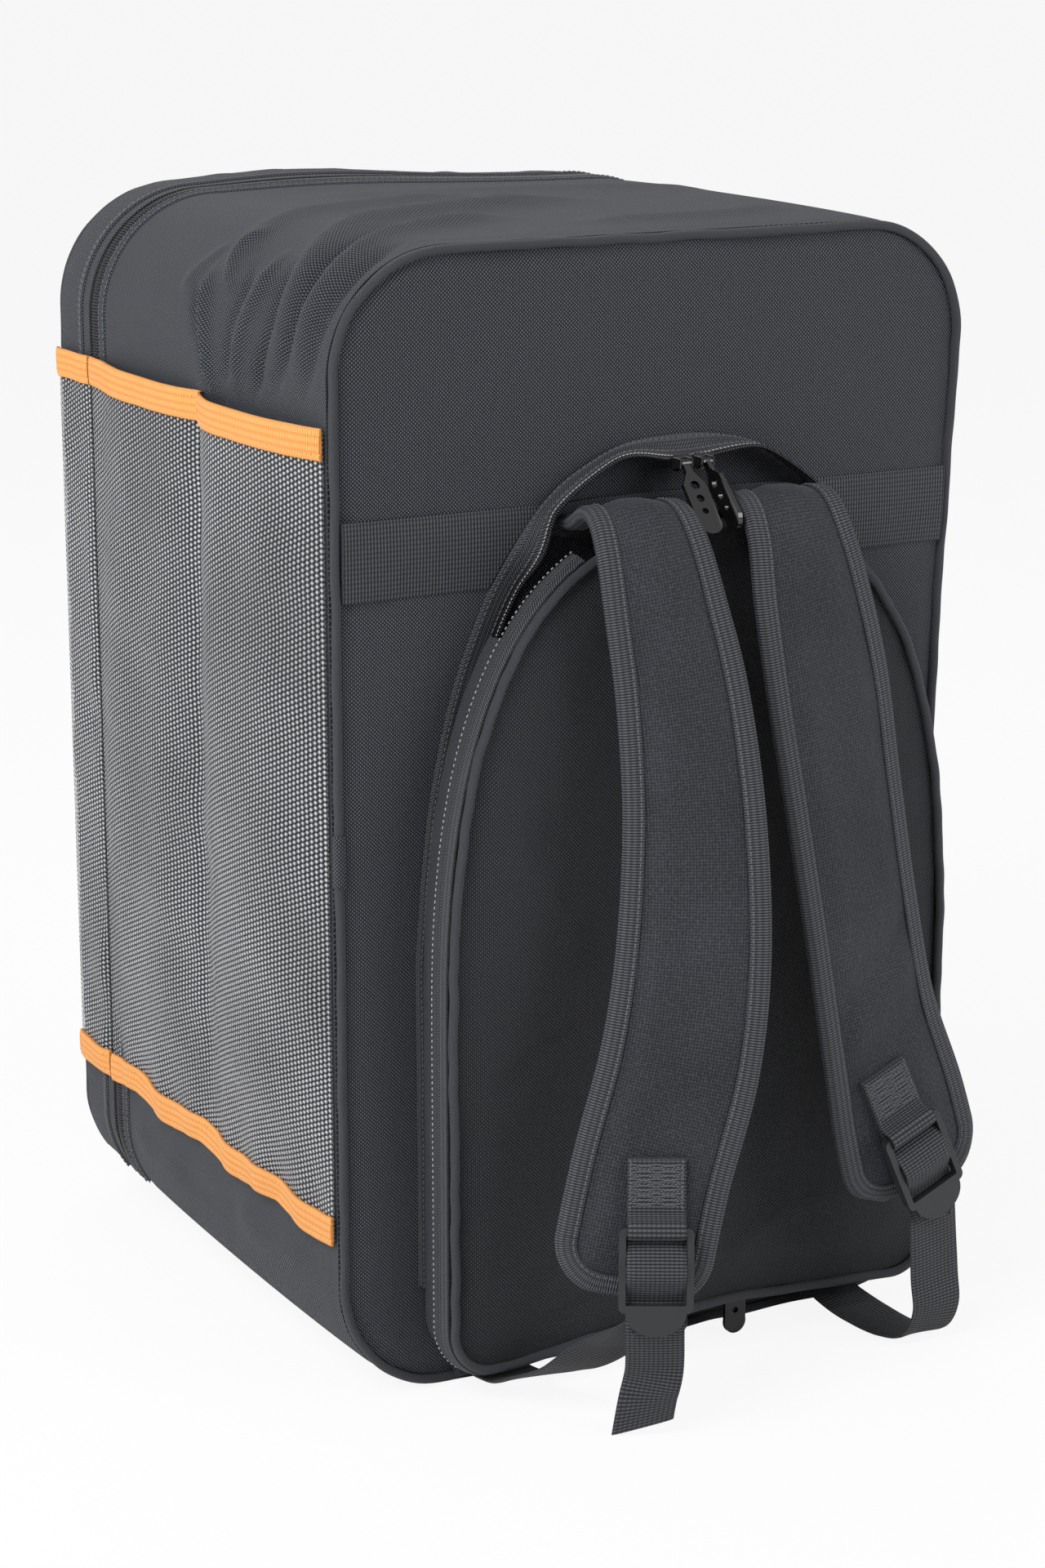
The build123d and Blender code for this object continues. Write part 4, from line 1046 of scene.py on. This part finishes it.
pad_cloth, shader, wire = material("spacer_mesh")
where = wire.node("UVMap", {"uv_map": "cloth"})
cells = wire.node("TexVoronoi", _0=where, Scale=620.0, Randomness=0.25)
fuzz, clouds = wire.noise(500.0), wire.noise(14.0)
# Painted shade: the colour is dark in the pits at the cells' middles and light on their raised rims, with
# clouds and fuzz at random.
share = wire.maths("MINIMUM", cells * 0.9 + fuzz * 0.25 + clouds * 0.3 - 0.25, 1.0)
connect(shader, Base_Color=(share ** 1.6).mix((0.003, 0.0034, 0.0045, 1), (0.092, 0.100, 0.122, 1)),
        Normal=wire.node("Bump", Height=cells + fuzz * 0.3, Distance=0.0004, Strength=0.8),
        Roughness=0.72, Sheen_Weight=0.08, Sheen_Roughness=0.5, Specular_IOR_Level=0.3)
binding_weave = ribbed("strap_binding_weave", (0.0020, 0.0022, 0.0030, 1), (0.105, 0.112, 0.130, 1), 0.0014,
                       0.0034)

# Each strap's middle line from its root as (x, depth behind the panel, z, turn, width), in millimetres
# and degrees.
strap_lines = {
    "left": [(-38, 6, 459, 0, 53), (-38, 16, 460, 0, 54), (-38, 30, 467, 2, 55), (-38, 43, 464, 5, 57),
             (-37, 53, 449, 9, 59), (-34, 61, 420, 14, 62), (-29, 70, 375, 22, 66), (-27, 79, 315, 27, 71),
             (-32, 88, 250, 28, 77), (-43, 94, 195, 28, 80), (-62, 98, 140, 28, 80), (-75, 100, 90, 28, 80),
             (-78, 100, 77, 28, 78)],
    "right": [(50, 6, 459, 0, 53), (50, 16, 460, 0, 54), (50, 30, 467, 0, 56), (50, 43, 464, -1, 59),
              (51, 52, 449, -3, 63), (55, 57, 420, -5, 71), (64, 61, 370, -7, 78), (72, 65, 315, -9, 78),
              (82, 69, 250, -10, 78), (92, 73, 190, -9, 80), (104, 77, 140, -2, 84), (112, 80, 105, 0, 84),
              (114, 80, 92, 0, 82)],
}
# Soft creases across each strap as (distance from the root, height, width, slant).
strap_creases = {
    "left": [(0.10, -0.0012, 0.012, 0.3), (0.33, -0.0010, 0.016, -0.2)],
    "right": [(0.290, -0.0022, 0.009, 0.5), (0.312, 0.0018, 0.010, 0.5), (0.335, -0.0016, 0.008, 0.3),
              (0.11, -0.0012, 0.012, -0.3)],
}
binding_width = 0.0105
strap_corner = 0.026


class Strap:
    """A strap's surface: place() takes distance down it, distance across and height to a point in space."""

    def __init__(self, side):
        rows = curve_through(strap_lines[side], 12)
        self.line = np.stack([rows[:, 0], -half_depth * 1000 - rows[:, 1], rows[:, 2]], axis=-1) / 1000
        turn = np.radians(rows[:, 3])
        across = np.stack([np.cos(turn), -np.sin(turn), turn * 0], axis=-1)
        self.across, self.out = square_frame(self.line, across)
        self.width, self.run = rows[:, 4] / 1000, lengths_along(self.line)
        self.length, self.side = self.run[-1], side

    def at(self, s, values):
        values = np.asarray(values)
        if values.ndim == 1:
            return np.interp(s, self.run, values)
        return np.stack([np.interp(s, self.run, values[:, k]) for k in range(values.shape[1])], axis=-1)

    def reach(self, s):
        """Half width at a distance down the strap, with its end rounded."""
        half = self.at(s, self.width) / 2
        over = np.clip((s - (self.length - strap_corner)) / strap_corner, 0, 1)
        return half - strap_corner + strap_corner * np.sqrt(1 - over ** 2)

    def place(self, s, u, h):
        s, u, h = np.broadcast_arrays(s, u, h)
        sideways, outwards = self.at(s, self.across), self.at(s, self.out)
        return self.at(s, self.line) + sideways * u[..., None] + outwards * h[..., None]

    def crown(self, s, u):
        """Half thickness of the foam: full in the middle, pressed flat where the binding is sewn."""
        edge = self.reach(s) - np.abs(u)
        end = np.minimum(self.length - s, edge)
        full = 0.0026 + 0.0029 * smoothstep(0.008, 0.024, end)
        wave = 0.0004 * ripple(s, u, 7 if self.side == "left" else 8, 0.05)
        for where, height, width, slant in strap_creases[self.side]:
            wave = wave + height * np.exp(-((s + u * slant - where) / width) ** 2)
        return full + wave * smoothstep(0.006, 0.02, end)

    def edge(self):
        """The outline from the left root round the end to the right root as (s, u), and its way inwards."""
        s = np.concatenate([np.arange(0, self.length - strap_corner, 0.003),
                            self.length - strap_corner * (1 - np.sin(np.linspace(0, pi / 2, 16)))])
        left = np.stack([s, -self.reach(s)], axis=-1)
        across_end = np.linspace(-1, 1, 16)[1:-1] * self.reach(self.length)
        bottom = np.stack([np.full(14, self.length), across_end], axis=-1)
        line = np.vstack([left, bottom, left[::-1] * (1, -1)])
        along = np.gradient(line, axis=0)
        along /= np.linalg.norm(along, axis=1)[:, None]
        inward = np.stack([-along[:, 1], along[:, 0]], axis=-1)
        inward *= np.sign(np.sum(inward * (np.array([self.length / 2, 0]) - line), axis=1))[:, None]
        return line, inward


for side in ("left", "right"):
    strap = Strap(side)
    s = np.concatenate([np.linspace(0, strap.length - strap_corner, 130),
                        strap.length - strap_corner * (1 - np.sin(np.linspace(0, pi / 2, 14)))[1:]])
    share = np.linspace(-1, 1, 41)
    u = strap.reach(s)[:, None] * share * 0.985
    rows = np.minimum(np.broadcast_to(s[:, None], u.shape), strap.length - 0.0008)
    thick = strap.crown(rows, u) * np.sqrt(np.maximum(1 - np.abs(share) ** 14, 0.02))[None]
    pad = cloth(f"{side}_strap_pad", strap.place(rows, u, thick), strap.place(rows, u, -thick),
                paint=pad_cloth, flat=np.stack([u, rows], axis=-1))
    belong(pad, f"strap_{side}", f"strap_{side}_pad")

    line, inward = strap.edge()
    # The folded tape's section as (inset from the strap's edge, height, way out).
    section = [(binding_width, 0.0031, 1), (0.0085, 0.0033, 1), (0.005, 0.0034, 1), (0.0022, 0.0032, 1),
               (0.0006, 0.0022, 1), (0.0, 0.0009, 1), (0.0, -0.0009, -1), (0.0006, -0.0022, -1),
               (0.0022, -0.0032, -1), (0.005, -0.0034, -1), (binding_width, -0.0031, -1)]
    skins = []
    for lift in (0.0007, -0.0002):
        grid = []
        for inset, height, sense in section:
            spot = line + inward * (inset - (lift if inset < 0.0004 else 0))
            grid.append(strap.place(spot[:, 0], spot[:, 1], np.full(len(spot), height + sense * lift * 0.8)))
        skins.append(np.stack(grid, axis=1))
    binding = cloth(f"{side}_strap_binding", skins[0], skins[1], paint=binding_weave)
    belong(binding, f"strap_{side}", f"strap_{side}_binding")
    rows = []
    for face in (1, -1):
        spot = line + inward * (binding_width - 0.0018)
        rows.append((strap.place(spot[:, 0], spot[:, 1], np.full(len(spot), face * 0.0040)),
                     strap.at(spot[:, 0], strap.out) * face))
    belong(repeat(f"{side}_strap_stitches", rows, long_stitch, 0.0034, black_thread, seed=9), f"strap_{side}")


# ---- Buckles and webbing ------------------------------------------------------------------------
# A moulded ladder-lock buckle hangs from a doubled 30 mm webbing tab, box-stitched to the strap's
# end. The strap's lower webbing rises behind the buckle, passes over its bar and hangs down.
buckle_plastic, shader, wire = material("buckle_plastic")
grain = wire.noise(380.0)
connect(shader, Base_Color=(0.022, 0.0235, 0.027, 1), Roughness=0.26 + grain * 0.12, Specular_IOR_Level=0.5,
        Normal=wire.node("Bump", Height=grain, Distance=0.0001, Strength=0.3))
webbing_width, webbing_thickness = 0.030, 0.0017
# Each buckle's seat: the middle of its top bar, its direction along the bar and its direction out.
seats = {
    "left": ((-0.0679914, -0.292217, 0.115882), (0.882231, -0.470716, -0.00973),
             (-0.464447, -0.873497, 0.145918)),
    "right": ((0.102273, -0.268712, 0.132127), (0.926976, 0.052274, 0.371459),
              (0.021149, -0.995951, 0.087379)),
}
# The webbing's way through a buckle as (down, out), the tails that hang from it as (x, depth, z), and
# the lower webbings' way to the bag as (x, depth, z, turn), in millimetres and degrees.
passes = [(2, -3.4), (6.5, -2.4), (10, 0.6), (16.5, 4.0), (23.5, 4.0), (30, 0), (36.5, -4.0), (44, -4.0),
          (54, -4.0)]
tails = {"left": [(-66, 110, 38), (-68, 107, 21), (-69, 104, 5)], "right": []}
lowers = {
    "left": [(-77, 85, 45, 24), (-91, 62, 26, 14), (-100, 36, 13, 6), (-106, 20, 11, 0),
             (-106, 8.4, 11.5, 0)],
    "right": [(126, 84, 44, 0), (128, 84, 22, 0), (125, 77, 7, 0), (119, 62, 3, 0), (113, 38, 5, 0),
              (109, 20, 9, 0), (109, 8.4, 11.5, 0)],
}
# The doubled tab's way round the buckle's top bar, as (up, out) in millimetres.
tab_path = [(36, -6.2), (28, -6.25), (18, -6.2), (8, -6.0), (2, -4.9), (-2.6, -3.4), (-4.1, 0), (-2.6, 3.4),
            (0.2, 4.2), (3, 3.3), (4.6, 0.6), (6.4, -2.6), (9.5, -4.2), (18, -4.35), (28, -4.35), (35, -4.4)]
for side in ("left", "right"):
    origin, along_bar, out = (np.array(v) for v in seats[side])
    uphill = np.cross(out, along_bar)

    def at_buckle(x, y, z):
        """Points from millimetres across, up and out from the middle of the buckle's top bar."""
        return origin + (np.multiply.outer(x, along_bar) + np.multiply.outer(y, uphill)
                         + np.multiply.outer(z, out)) / 1000

    strap = Strap(side)
    path = curve_through([(0, *spot) for spot in tab_path], 6)
    line = at_buckle(path[:, 0], path[:, 1], path[:, 2])
    line[:, 1] -= 0.0002
    tab = strip(f"{side}_tab", line, along_bar, webbing_width - 0.0006, webbing_thickness, webbing_weave,
                columns=15)
    belong(tab, f"strap_{side}", f"strap_{side}_tab")
    rows = []
    across = np.linspace(-12.5, 12.5, 30)
    zigzag = 0.9 * (-1) ** np.arange(30)
    for run in range(9):
        rows.append((at_buckle(across, 12.5 + run * 2.5 + zigzag, np.full(30, -3.3)), out))
    for x in (-13.2, 13.2):
        rows.append((at_buckle(np.full(12, x), np.linspace(11, 34.5, 12), np.full(12, -3.3)), out))
    belong(repeat(f"{side}_tab_stitches", rows, short_stitch, 0.0021, black_thread, seed=12),
           f"strap_{side}")

    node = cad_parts[f"buckle_{side}"]
    node.data.materials.clear()
    node.data.materials.append(buckle_plastic)

    path = curve_through([(0, -down, high) for down, high in passes], 8)
    line = at_buckle(path[:, 0], path[:, 1], path[:, 2])
    if tails[side]:
        hang = [(x / 1000, -half_depth - depth / 1000, z / 1000) for x, depth, z in tails[side]]
        line = np.vstack([line[:-6], curve_through(np.vstack([line[-7:-6], line[-1:], hang]), 14)[1:]])
    skew = -0.014 if side == "left" else 0.0
    tail = strip(f"{side}_buckle_tail", line, along_bar, webbing_width, webbing_thickness, webbing_weave,
                 columns=15, crown=0.0004, skew=skew, wave=0.0002, seed=14)
    belong(tail, f"buckle_{side}", f"buckle_{side}_webbing")

    start = at_buckle(np.zeros(2), np.array([-45, -50.0]), np.array([-5.9, -7.2]))
    rows = [(*spot, np.degrees(np.arctan2(-along_bar[1], along_bar[0]))) for spot in start]
    rows += [(x / 1000, -half_depth - depth / 1000, z / 1000, turn) for x, depth, z, turn in lowers[side]]
    rows = curve_through(rows, 12)
    turn = np.radians(rows[:, 3])
    across = np.stack([np.cos(turn), -np.sin(turn), turn * 0], axis=-1)
    lower = strip(f"{side}_lower_webbing", rows[:, :3], across, webbing_width, webbing_thickness,
                  webbing_weave, columns=15, wave=0.0003, seed=15)
    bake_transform(lower)
    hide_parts(f"lower_webbing_{side}")

parts = []
for x in (-0.106, 0.109):
    line = np.array([(x + step, -half_depth - 0.0036, 0.0115) for step in (-0.018, 0, 0.018)])
    parts.append(strip("anchor", line, (0, 0, -1), 0.012, 0.0066, oxford, columns=7))
belong(join("webbing_anchor_patches", parts), "bag", "webbing_anchors")


# ---- Side mesh pocket ---------------------------------------------------------------------------
# Coated open mesh over the whole left side, gathered by a pleat in its middle and bound at the top
# and bottom with orange ribbed tape. It is cut at the main zip, so that the front can fold out.
pocket_low, pocket_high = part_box("mesh_pocket")[0].z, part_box("mesh_pocket")[1].z
pocket_rear, pocket_front = -0.172, zip_middle - 0.0006
# How far the mesh stands out, as (y, distance), with the pleat at y = -0.02.
bulges = [(pocket_rear, 0), (-0.158, 0.0045), (-0.130, 0.0105), (-0.108, 0.0130), (-0.085, 0.0138),
          (-0.062, 0.0126), (-0.042, 0.0080), (-0.028, 0.0034), (-0.020, 0.0026), (-0.008, 0.0058),
          (0.020, 0.0088), (0.055, 0.0092), (0.085, 0.0072), (0.110, 0.0030), (pocket_front, 0)]
bulges = curve_through(bulges, 10)


def pocket_off(y, z):
    """How far the mesh stands off the side at a place."""
    share = np.interp(z, [pocket_low, 0.110, 0.170, 0.300, 0.430, pocket_high],
                      [0.08, 0.30, 0.75, 1.0, 0.97, 0.85])
    off = np.interp(y, bulges[:, 0], bulges[:, 1]) * share
    pinned = np.minimum(smoothstep(pocket_rear, pocket_rear + 0.02, y),
                        1 - smoothstep(pocket_front - 0.02, pocket_front, y))
    soft = 0.0011 * ripple(y, z * 0.45, 51, 0.11) + 0.0006 * ripple(y, z, 52, 0.05)
    tuck = 0.0030 * np.exp(-((y + 0.026) / 0.0035) ** 2) * smoothstep(0.36, pocket_high, z)
    low_waves = 0.0014 * np.sin(y * 2 * pi / 0.047 + 0.7) * np.exp(-((z - pocket_low) / 0.035) ** 2)
    return np.maximum(off + (soft + low_waves) * pinned - tuck, 0.0)


def pocket_skin(y, z, out):
    """Points of the pocket's surface, out from where the mesh lies."""
    drop = 0.0022 * np.sin(y * 2 * pi / 0.094 + 1.9) * np.exp(-((z - pocket_low) / 0.03) ** 2)
    return settle(np.stack([-half_width - 0.0014 - pocket_off(y, z) - out, y, z + drop], axis=-1))


# The net: knots in staggered columns with a painted highlight on each, brighter in cloudy patches, thin yarn
# from knot to knot, and holes in between.
net_across, net_down = 0.0033, 0.0028
mesh_net, shader, wire = material("coated_mesh")
u, v = wire.cloth_map()
u, v = u / net_across, v / net_down
v = v + wire.maths("FLOORED_MODULO", wire.maths("FLOOR", u), 2.0) * 0.5
across = wire.maths("ABSOLUTE", wire.maths("FRACT", u) - 0.5)
up = wire.maths("ABSOLUTE", wire.maths("FRACT", v) - 0.5)
from_knot = wire.maths("SQRT", across ** 2.0 + up ** 2.0)
beside = wire.maths("GREATER_THAN", wire.maths("MINIMUM", across, up), 0.13)
hole = beside * wire.maths("GREATER_THAN", from_knot, 0.36)
ridge = wire.maths("MAXIMUM", wire.maths("MINIMUM", (0.39 - from_knot) * 4.5, 1.0), 0.0)
fuzz, clouds = wire.noise(600.0), wire.noise(11.0)
# Painted highlight: the knots are painted light on the dark grey yarn, varied by fuzz and cloudy patches.
shade = wire.maths("MINIMUM", ridge * (0.15 + fuzz * 0.4 + clouds * 1.1), 1.0)
connect(shader, Base_Color=shade.mix((0.018, 0.019, 0.022, 1), (0.45, 0.465, 0.49, 1)), Alpha=1 - hole,
        Normal=wire.node("Bump", Height=ridge, Distance=0.0004, Strength=0.7),
        Roughness=0.36, Sheen_Weight=0.2)

y, z = np.meshgrid(np.linspace(pocket_rear, pocket_front, 170),
                   np.linspace(pocket_low + 0.002, pocket_high - 0.002, 150))
net = cloth("side_mesh", pocket_skin(y, z, 0.0006), pocket_skin(y, z, 0.0), paint=mesh_net)
belong(net, "bag", "mesh_pocket")

orange_weave = ribbed("orange_binding_weave", (0.62, 0.20, 0.035, 1), (0.98, 0.50, 0.15, 1), 0.0013, 0.0040,
                      rough=0.62, bump=0.0003)


def pocket_binding(name, low, high, rear, front, skin, body, node, seed):
    """A bound edge: tape folded over the mesh, with two rows of stitches."""
    y, z = np.meshgrid(np.linspace(rear, front, 150), np.linspace(low, high, 12))
    rise = np.linspace(0, 1, 12)[:, None]
    plump = 0.0011 + 0.0007 * np.sin(pi * rise) ** 0.5 + 0.00025 * ripple(y, z, seed, 0.03)
    outer = skin(y, z, 0.0008 + plump)
    inner = skin(y, z, 0.0007)
    piece = cloth(name, outer.transpose(1, 0, 2), inner.transpose(1, 0, 2), paint=orange_weave)
    belong(piece, body, node)
    rows = []
    for share in (0.2, 0.8):
        level = np.full(150, low + (high - low) * share)
        rows.append((skin(np.linspace(rear, front, 150), level, 0.0022), (-1, 0, 0)))
    belong(repeat(name + "_stitches", rows, long_stitch, 0.0033, orange_thread, seed=seed), body)


lower_binding, upper_binding, binding_height = 0.088, 0.498, 0.016
pocket_binding("lower_orange_binding", lower_binding, lower_binding + binding_height, pocket_rear,
               pocket_front, pocket_skin, "bag", "pocket_bottom_binding", 61)
pocket_binding("upper_orange_binding", upper_binding, upper_binding + binding_height, pocket_rear,
               pocket_front, pocket_skin, "bag", "pocket_top_binding", 62)

lid_mesh_rear, lid_mesh_front = zip_middle + 0.0008, 0.1728


def lid_skin(y, z, out):
    edge = np.minimum(smoothstep(lid_mesh_rear, lid_mesh_rear + 0.008, y), 1 - smoothstep(0.165, 0.173, y))
    off = 0.0020 + 0.0010 * edge * (1 + ripple(y, z, 54, 0.06))
    return settle(np.stack([-half_width - off - out, y, z], axis=-1))


y, z = np.meshgrid(np.linspace(lid_mesh_rear, lid_mesh_front, 24),
                   np.linspace(pocket_low + 0.002, pocket_high - 0.002, 120))
net = cloth("lid_side_mesh", lid_skin(y, z, 0.0006), lid_skin(y, z, 0.0), paint=mesh_net)
belong(net, "lid", "lid_mesh")
for number, low in enumerate((lower_binding, upper_binding)):
    pocket_binding(f"lid_orange_binding_{number}", low, low + binding_height, lid_mesh_rear, lid_mesh_front,
                   lid_skin, "lid", "lid_mesh_bindings" if number == 0 else [], 63 + number)


# ---- Lid and front ------------------------------------------------------------------------------
# The fold-out front: a padded panel and a narrow gusset, joined to the body along the sill at the
# bottom and by the main zip round the other three sides.
def front_lift(x, z):
    edge = np.minimum(side_at(z, seam) - np.abs(x), body_height - seam - z)
    soft = 0.0010 * ripple(x, z, 71, 0.16) + 0.0004 * ripple(x, z, 72, 0.06)
    return -0.0022 * (1 - smoothstep(0.0, 0.012, edge)) + soft * smoothstep(0.01, 0.05, edge)


def sill_lift(x, z):
    return np.full_like(x, -0.0005)


front_face = half_depth - 0.001
face_panel("front_panel", front_face, -0.008, fold_z + fold_gap, body_height - seam, seam, front_lift,
           panel_cloth, "lid", "lid_panel")
face_panel("sill_panel", front_face, -0.008, seam, fold_z - fold_gap, seam, sill_lift, panel_cloth, "bag",
           "front_sill")
lid_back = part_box("lid_gusset")[0].y
wall("lid_wall", lid_back, half_depth - seam, 16, oxford, "lid", "lid_gusset", puff=0.0008,
     low_z=fold_z + fold_gap)


# ---- Main zip -----------------------------------------------------------------------------------
# A wide reverse-coil zip round the top and sides: ribbed tapes sewn to the two fabric edges, a coil
# on each and two rows of stitches on each tape.
ring_count = 620


def zip_line(y, out):
    return outline_line(y, -out, low_z=fold_z + 0.002, count=ring_count)


def zip_outward(line):
    along = np.gradient(line, axis=0)
    out = np.cross(along, [0, 1, 0])
    out /= np.linalg.norm(out, axis=1)[:, None]
    return out * np.sign(np.sum(out * (line - np.array([0, 0, 0.3])), axis=1))[:, None]


coil_wide = bead("coil_wide_shape", 0.0013, 0.0104, 0.0022, segments=8, rings=4)
coil_narrow = bead("coil_narrow_shape", 0.0013, 0.0030, 0.0020, segments=8, rings=4)
edge_stitch = bead("edge_stitch_shape", 0.0026, 0.0008, 0.0009)


def ring_band(name, near, far, heights, paint):
    """A band of the zip round the outline, with its heights over the wall from its near to its far edge."""
    across = np.linspace(near, far, len(heights))
    outer = np.stack([zip_line(y, out) for y, out in zip(across, heights)], axis=1)
    inner = np.stack([zip_line(y, 0.0001) for y in across], axis=1)
    return cloth(name, outer, inner, paint=paint)


tape_rise = [0.0006, 0.0009, 0.0009, 0.0009, 0.0009, 0.0009, 0.0006]
hem_rise = [0.0012, 0.0021, 0.0022, 0.0020, 0.0018, 0.0017, 0.0012, 0.0003]
for side, body, tape_node, teeth_node, coil, coil_at in (
        (-1, "bag", "main_zip_tape", "main_zip_teeth", coil_wide, 0.0060),
        (1, "lid", "lid_zip_tape", "lid_zip_teeth", coil_narrow, 0.0022)):
    tape = ring_band(f"{body}_zip_tape", zip_middle + side * 0.0007, zip_middle + side * 0.0178, tape_rise,
                     tape_weave)
    belong(tape, body, tape_node)
    hem = ring_band(f"{body}_zip_hem", zip_middle + side * 0.0118, zip_middle + side * 0.0192, hem_rise,
                    oxford)
    belong(hem, body)
    line = zip_line(zip_middle + side * coil_at, 0.0011)
    belong(repeat(f"{body}_coil", [(line, zip_outward(line))], coil, 0.0017, coil_plastic, turn=0.02), body,
           teeth_node)
    rows = []
    for offset, height in ((0.0140, 0.0022), (0.0178, 0.0014)):
        line = zip_line(zip_middle + side * offset, height)
        rows.append((line, zip_outward(line)))
    belong(repeat(f"{body}_zip_stitches", rows, edge_stitch, 0.0034, black_thread, seed=8), body)


# ---- Side handle --------------------------------------------------------------------------------
# A 40 mm webbing carry handle on the right side, sewn down at both ends under box-stitched patches.
handle_low, handle_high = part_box("side_handle")
handle_z = (handle_low.z + handle_high.z) / 2
handle_width, patch_middle = 0.040, 0.106
rows = [(-0.125, 0.0014), (-0.083, 0.0014), (-0.070, 0.0034), (-0.040, 0.0082), (0, 0.0094),
        (0.040, 0.0082), (0.070, 0.0034), (0.083, 0.0014), (0.125, 0.0014)]
rows = curve_through(rows, 10)


def on_side(run, out, z):
    points = settle(np.stack([np.full_like(run, half_width), -0.030 + run, np.full_like(run, z)], axis=-1))
    points[:, 0] += out
    return points


handle = strip("carry_handle", on_side(rows[:, 0], rows[:, 1], handle_z), (0, 0, 1), handle_width, 0.0018,
               webbing_weave, columns=17, wave=0.0002)
belong(handle, "bag", "side_handle")
parts, rows = [], []
for end in (-1, 1):
    run = np.linspace(-0.017, 0.017, 9) + end * patch_middle
    parts.append(strip("patch", on_side(run, np.full(9, 0.0034), handle_z), (0, 0, 1), handle_width,
                       webbing_thickness, webbing_weave, columns=9))
    for level in (-0.016, -0.008, 0, 0.008, 0.016):
        rows.append((on_side(run, np.full(9, 0.0044), handle_z + level), (1, 0, 0)))
    for edge in (-0.0145, 0.0145):
        middle = on_side(np.array([end * patch_middle + edge]), np.array([0.0044]), handle_z)[0]
        line = np.stack([middle + (0, 0, dz) for dz in np.linspace(-0.018, 0.018, 10)])
        rows.append((line, (1, 0, 0)))
belong(join("handle_patches", parts), "bag", "side_handle_patches")
belong(repeat("handle_stitches", rows, long_stitch, 0.0034, grey_thread, seed=3), "bag")


# ---- Sliders, pullers and the tape in the cover -------------------------------------------------
# Lacquered metal sliders and punched pullers, kept as built, with softened edges.
lacquer, shader, wire = material("black_lacquer")
connect(shader, Base_Color=(0.0045, 0.0045, 0.0052, 1), Roughness=0.10 + wire.noise(220.0) * 0.10,
        Specular_IOR_Level=0.6, Coat_Weight=0.6, Coat_Roughness=0.12)
board_grey, shader, wire = material("board_grey")
connect(shader, Base_Color=(0.05, 0.05, 0.052, 1), Roughness=0.6)
for name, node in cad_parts.items():
    is_buckle = name in ("buckle_left", "buckle_right")
    if is_buckle or "slider" in name or "puller" in name:
        if not is_buckle:
            node.data.materials.clear()
            node.data.materials.append(lacquer)
        soften = node.modifiers.new("soften", "BEVEL")
        soften.width = 0.0007 if is_buckle else 0.0004
        soften.segments = 2
        soften.limit_method = "ANGLE"
        soften.angle_limit = radians(40)
    elif name in ("base_board", "back_board"):
        node.data.materials.clear()
        node.data.materials.append(board_grey)
low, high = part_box("cover_zip_tape")
x = np.linspace(low.x, high.x, 20)
line = np.stack([x, np.full(20, (low.y + high.y) / 2), np.full(20, (low.z + high.z) / 2)], axis=-1)
belong(strip("cover_inner_tape", line, (0, 0, 1), 0.016, 0.0008, tape_weave, columns=7), "bag",
       "cover_zip_tape")


# ---- Removing the repeated shapes ---------------------------------------------------------------
for shape in (coil_turn, long_stitch, short_stitch, coil_wide, coil_narrow, edge_stitch):
    bpy.data.objects.remove(shape)
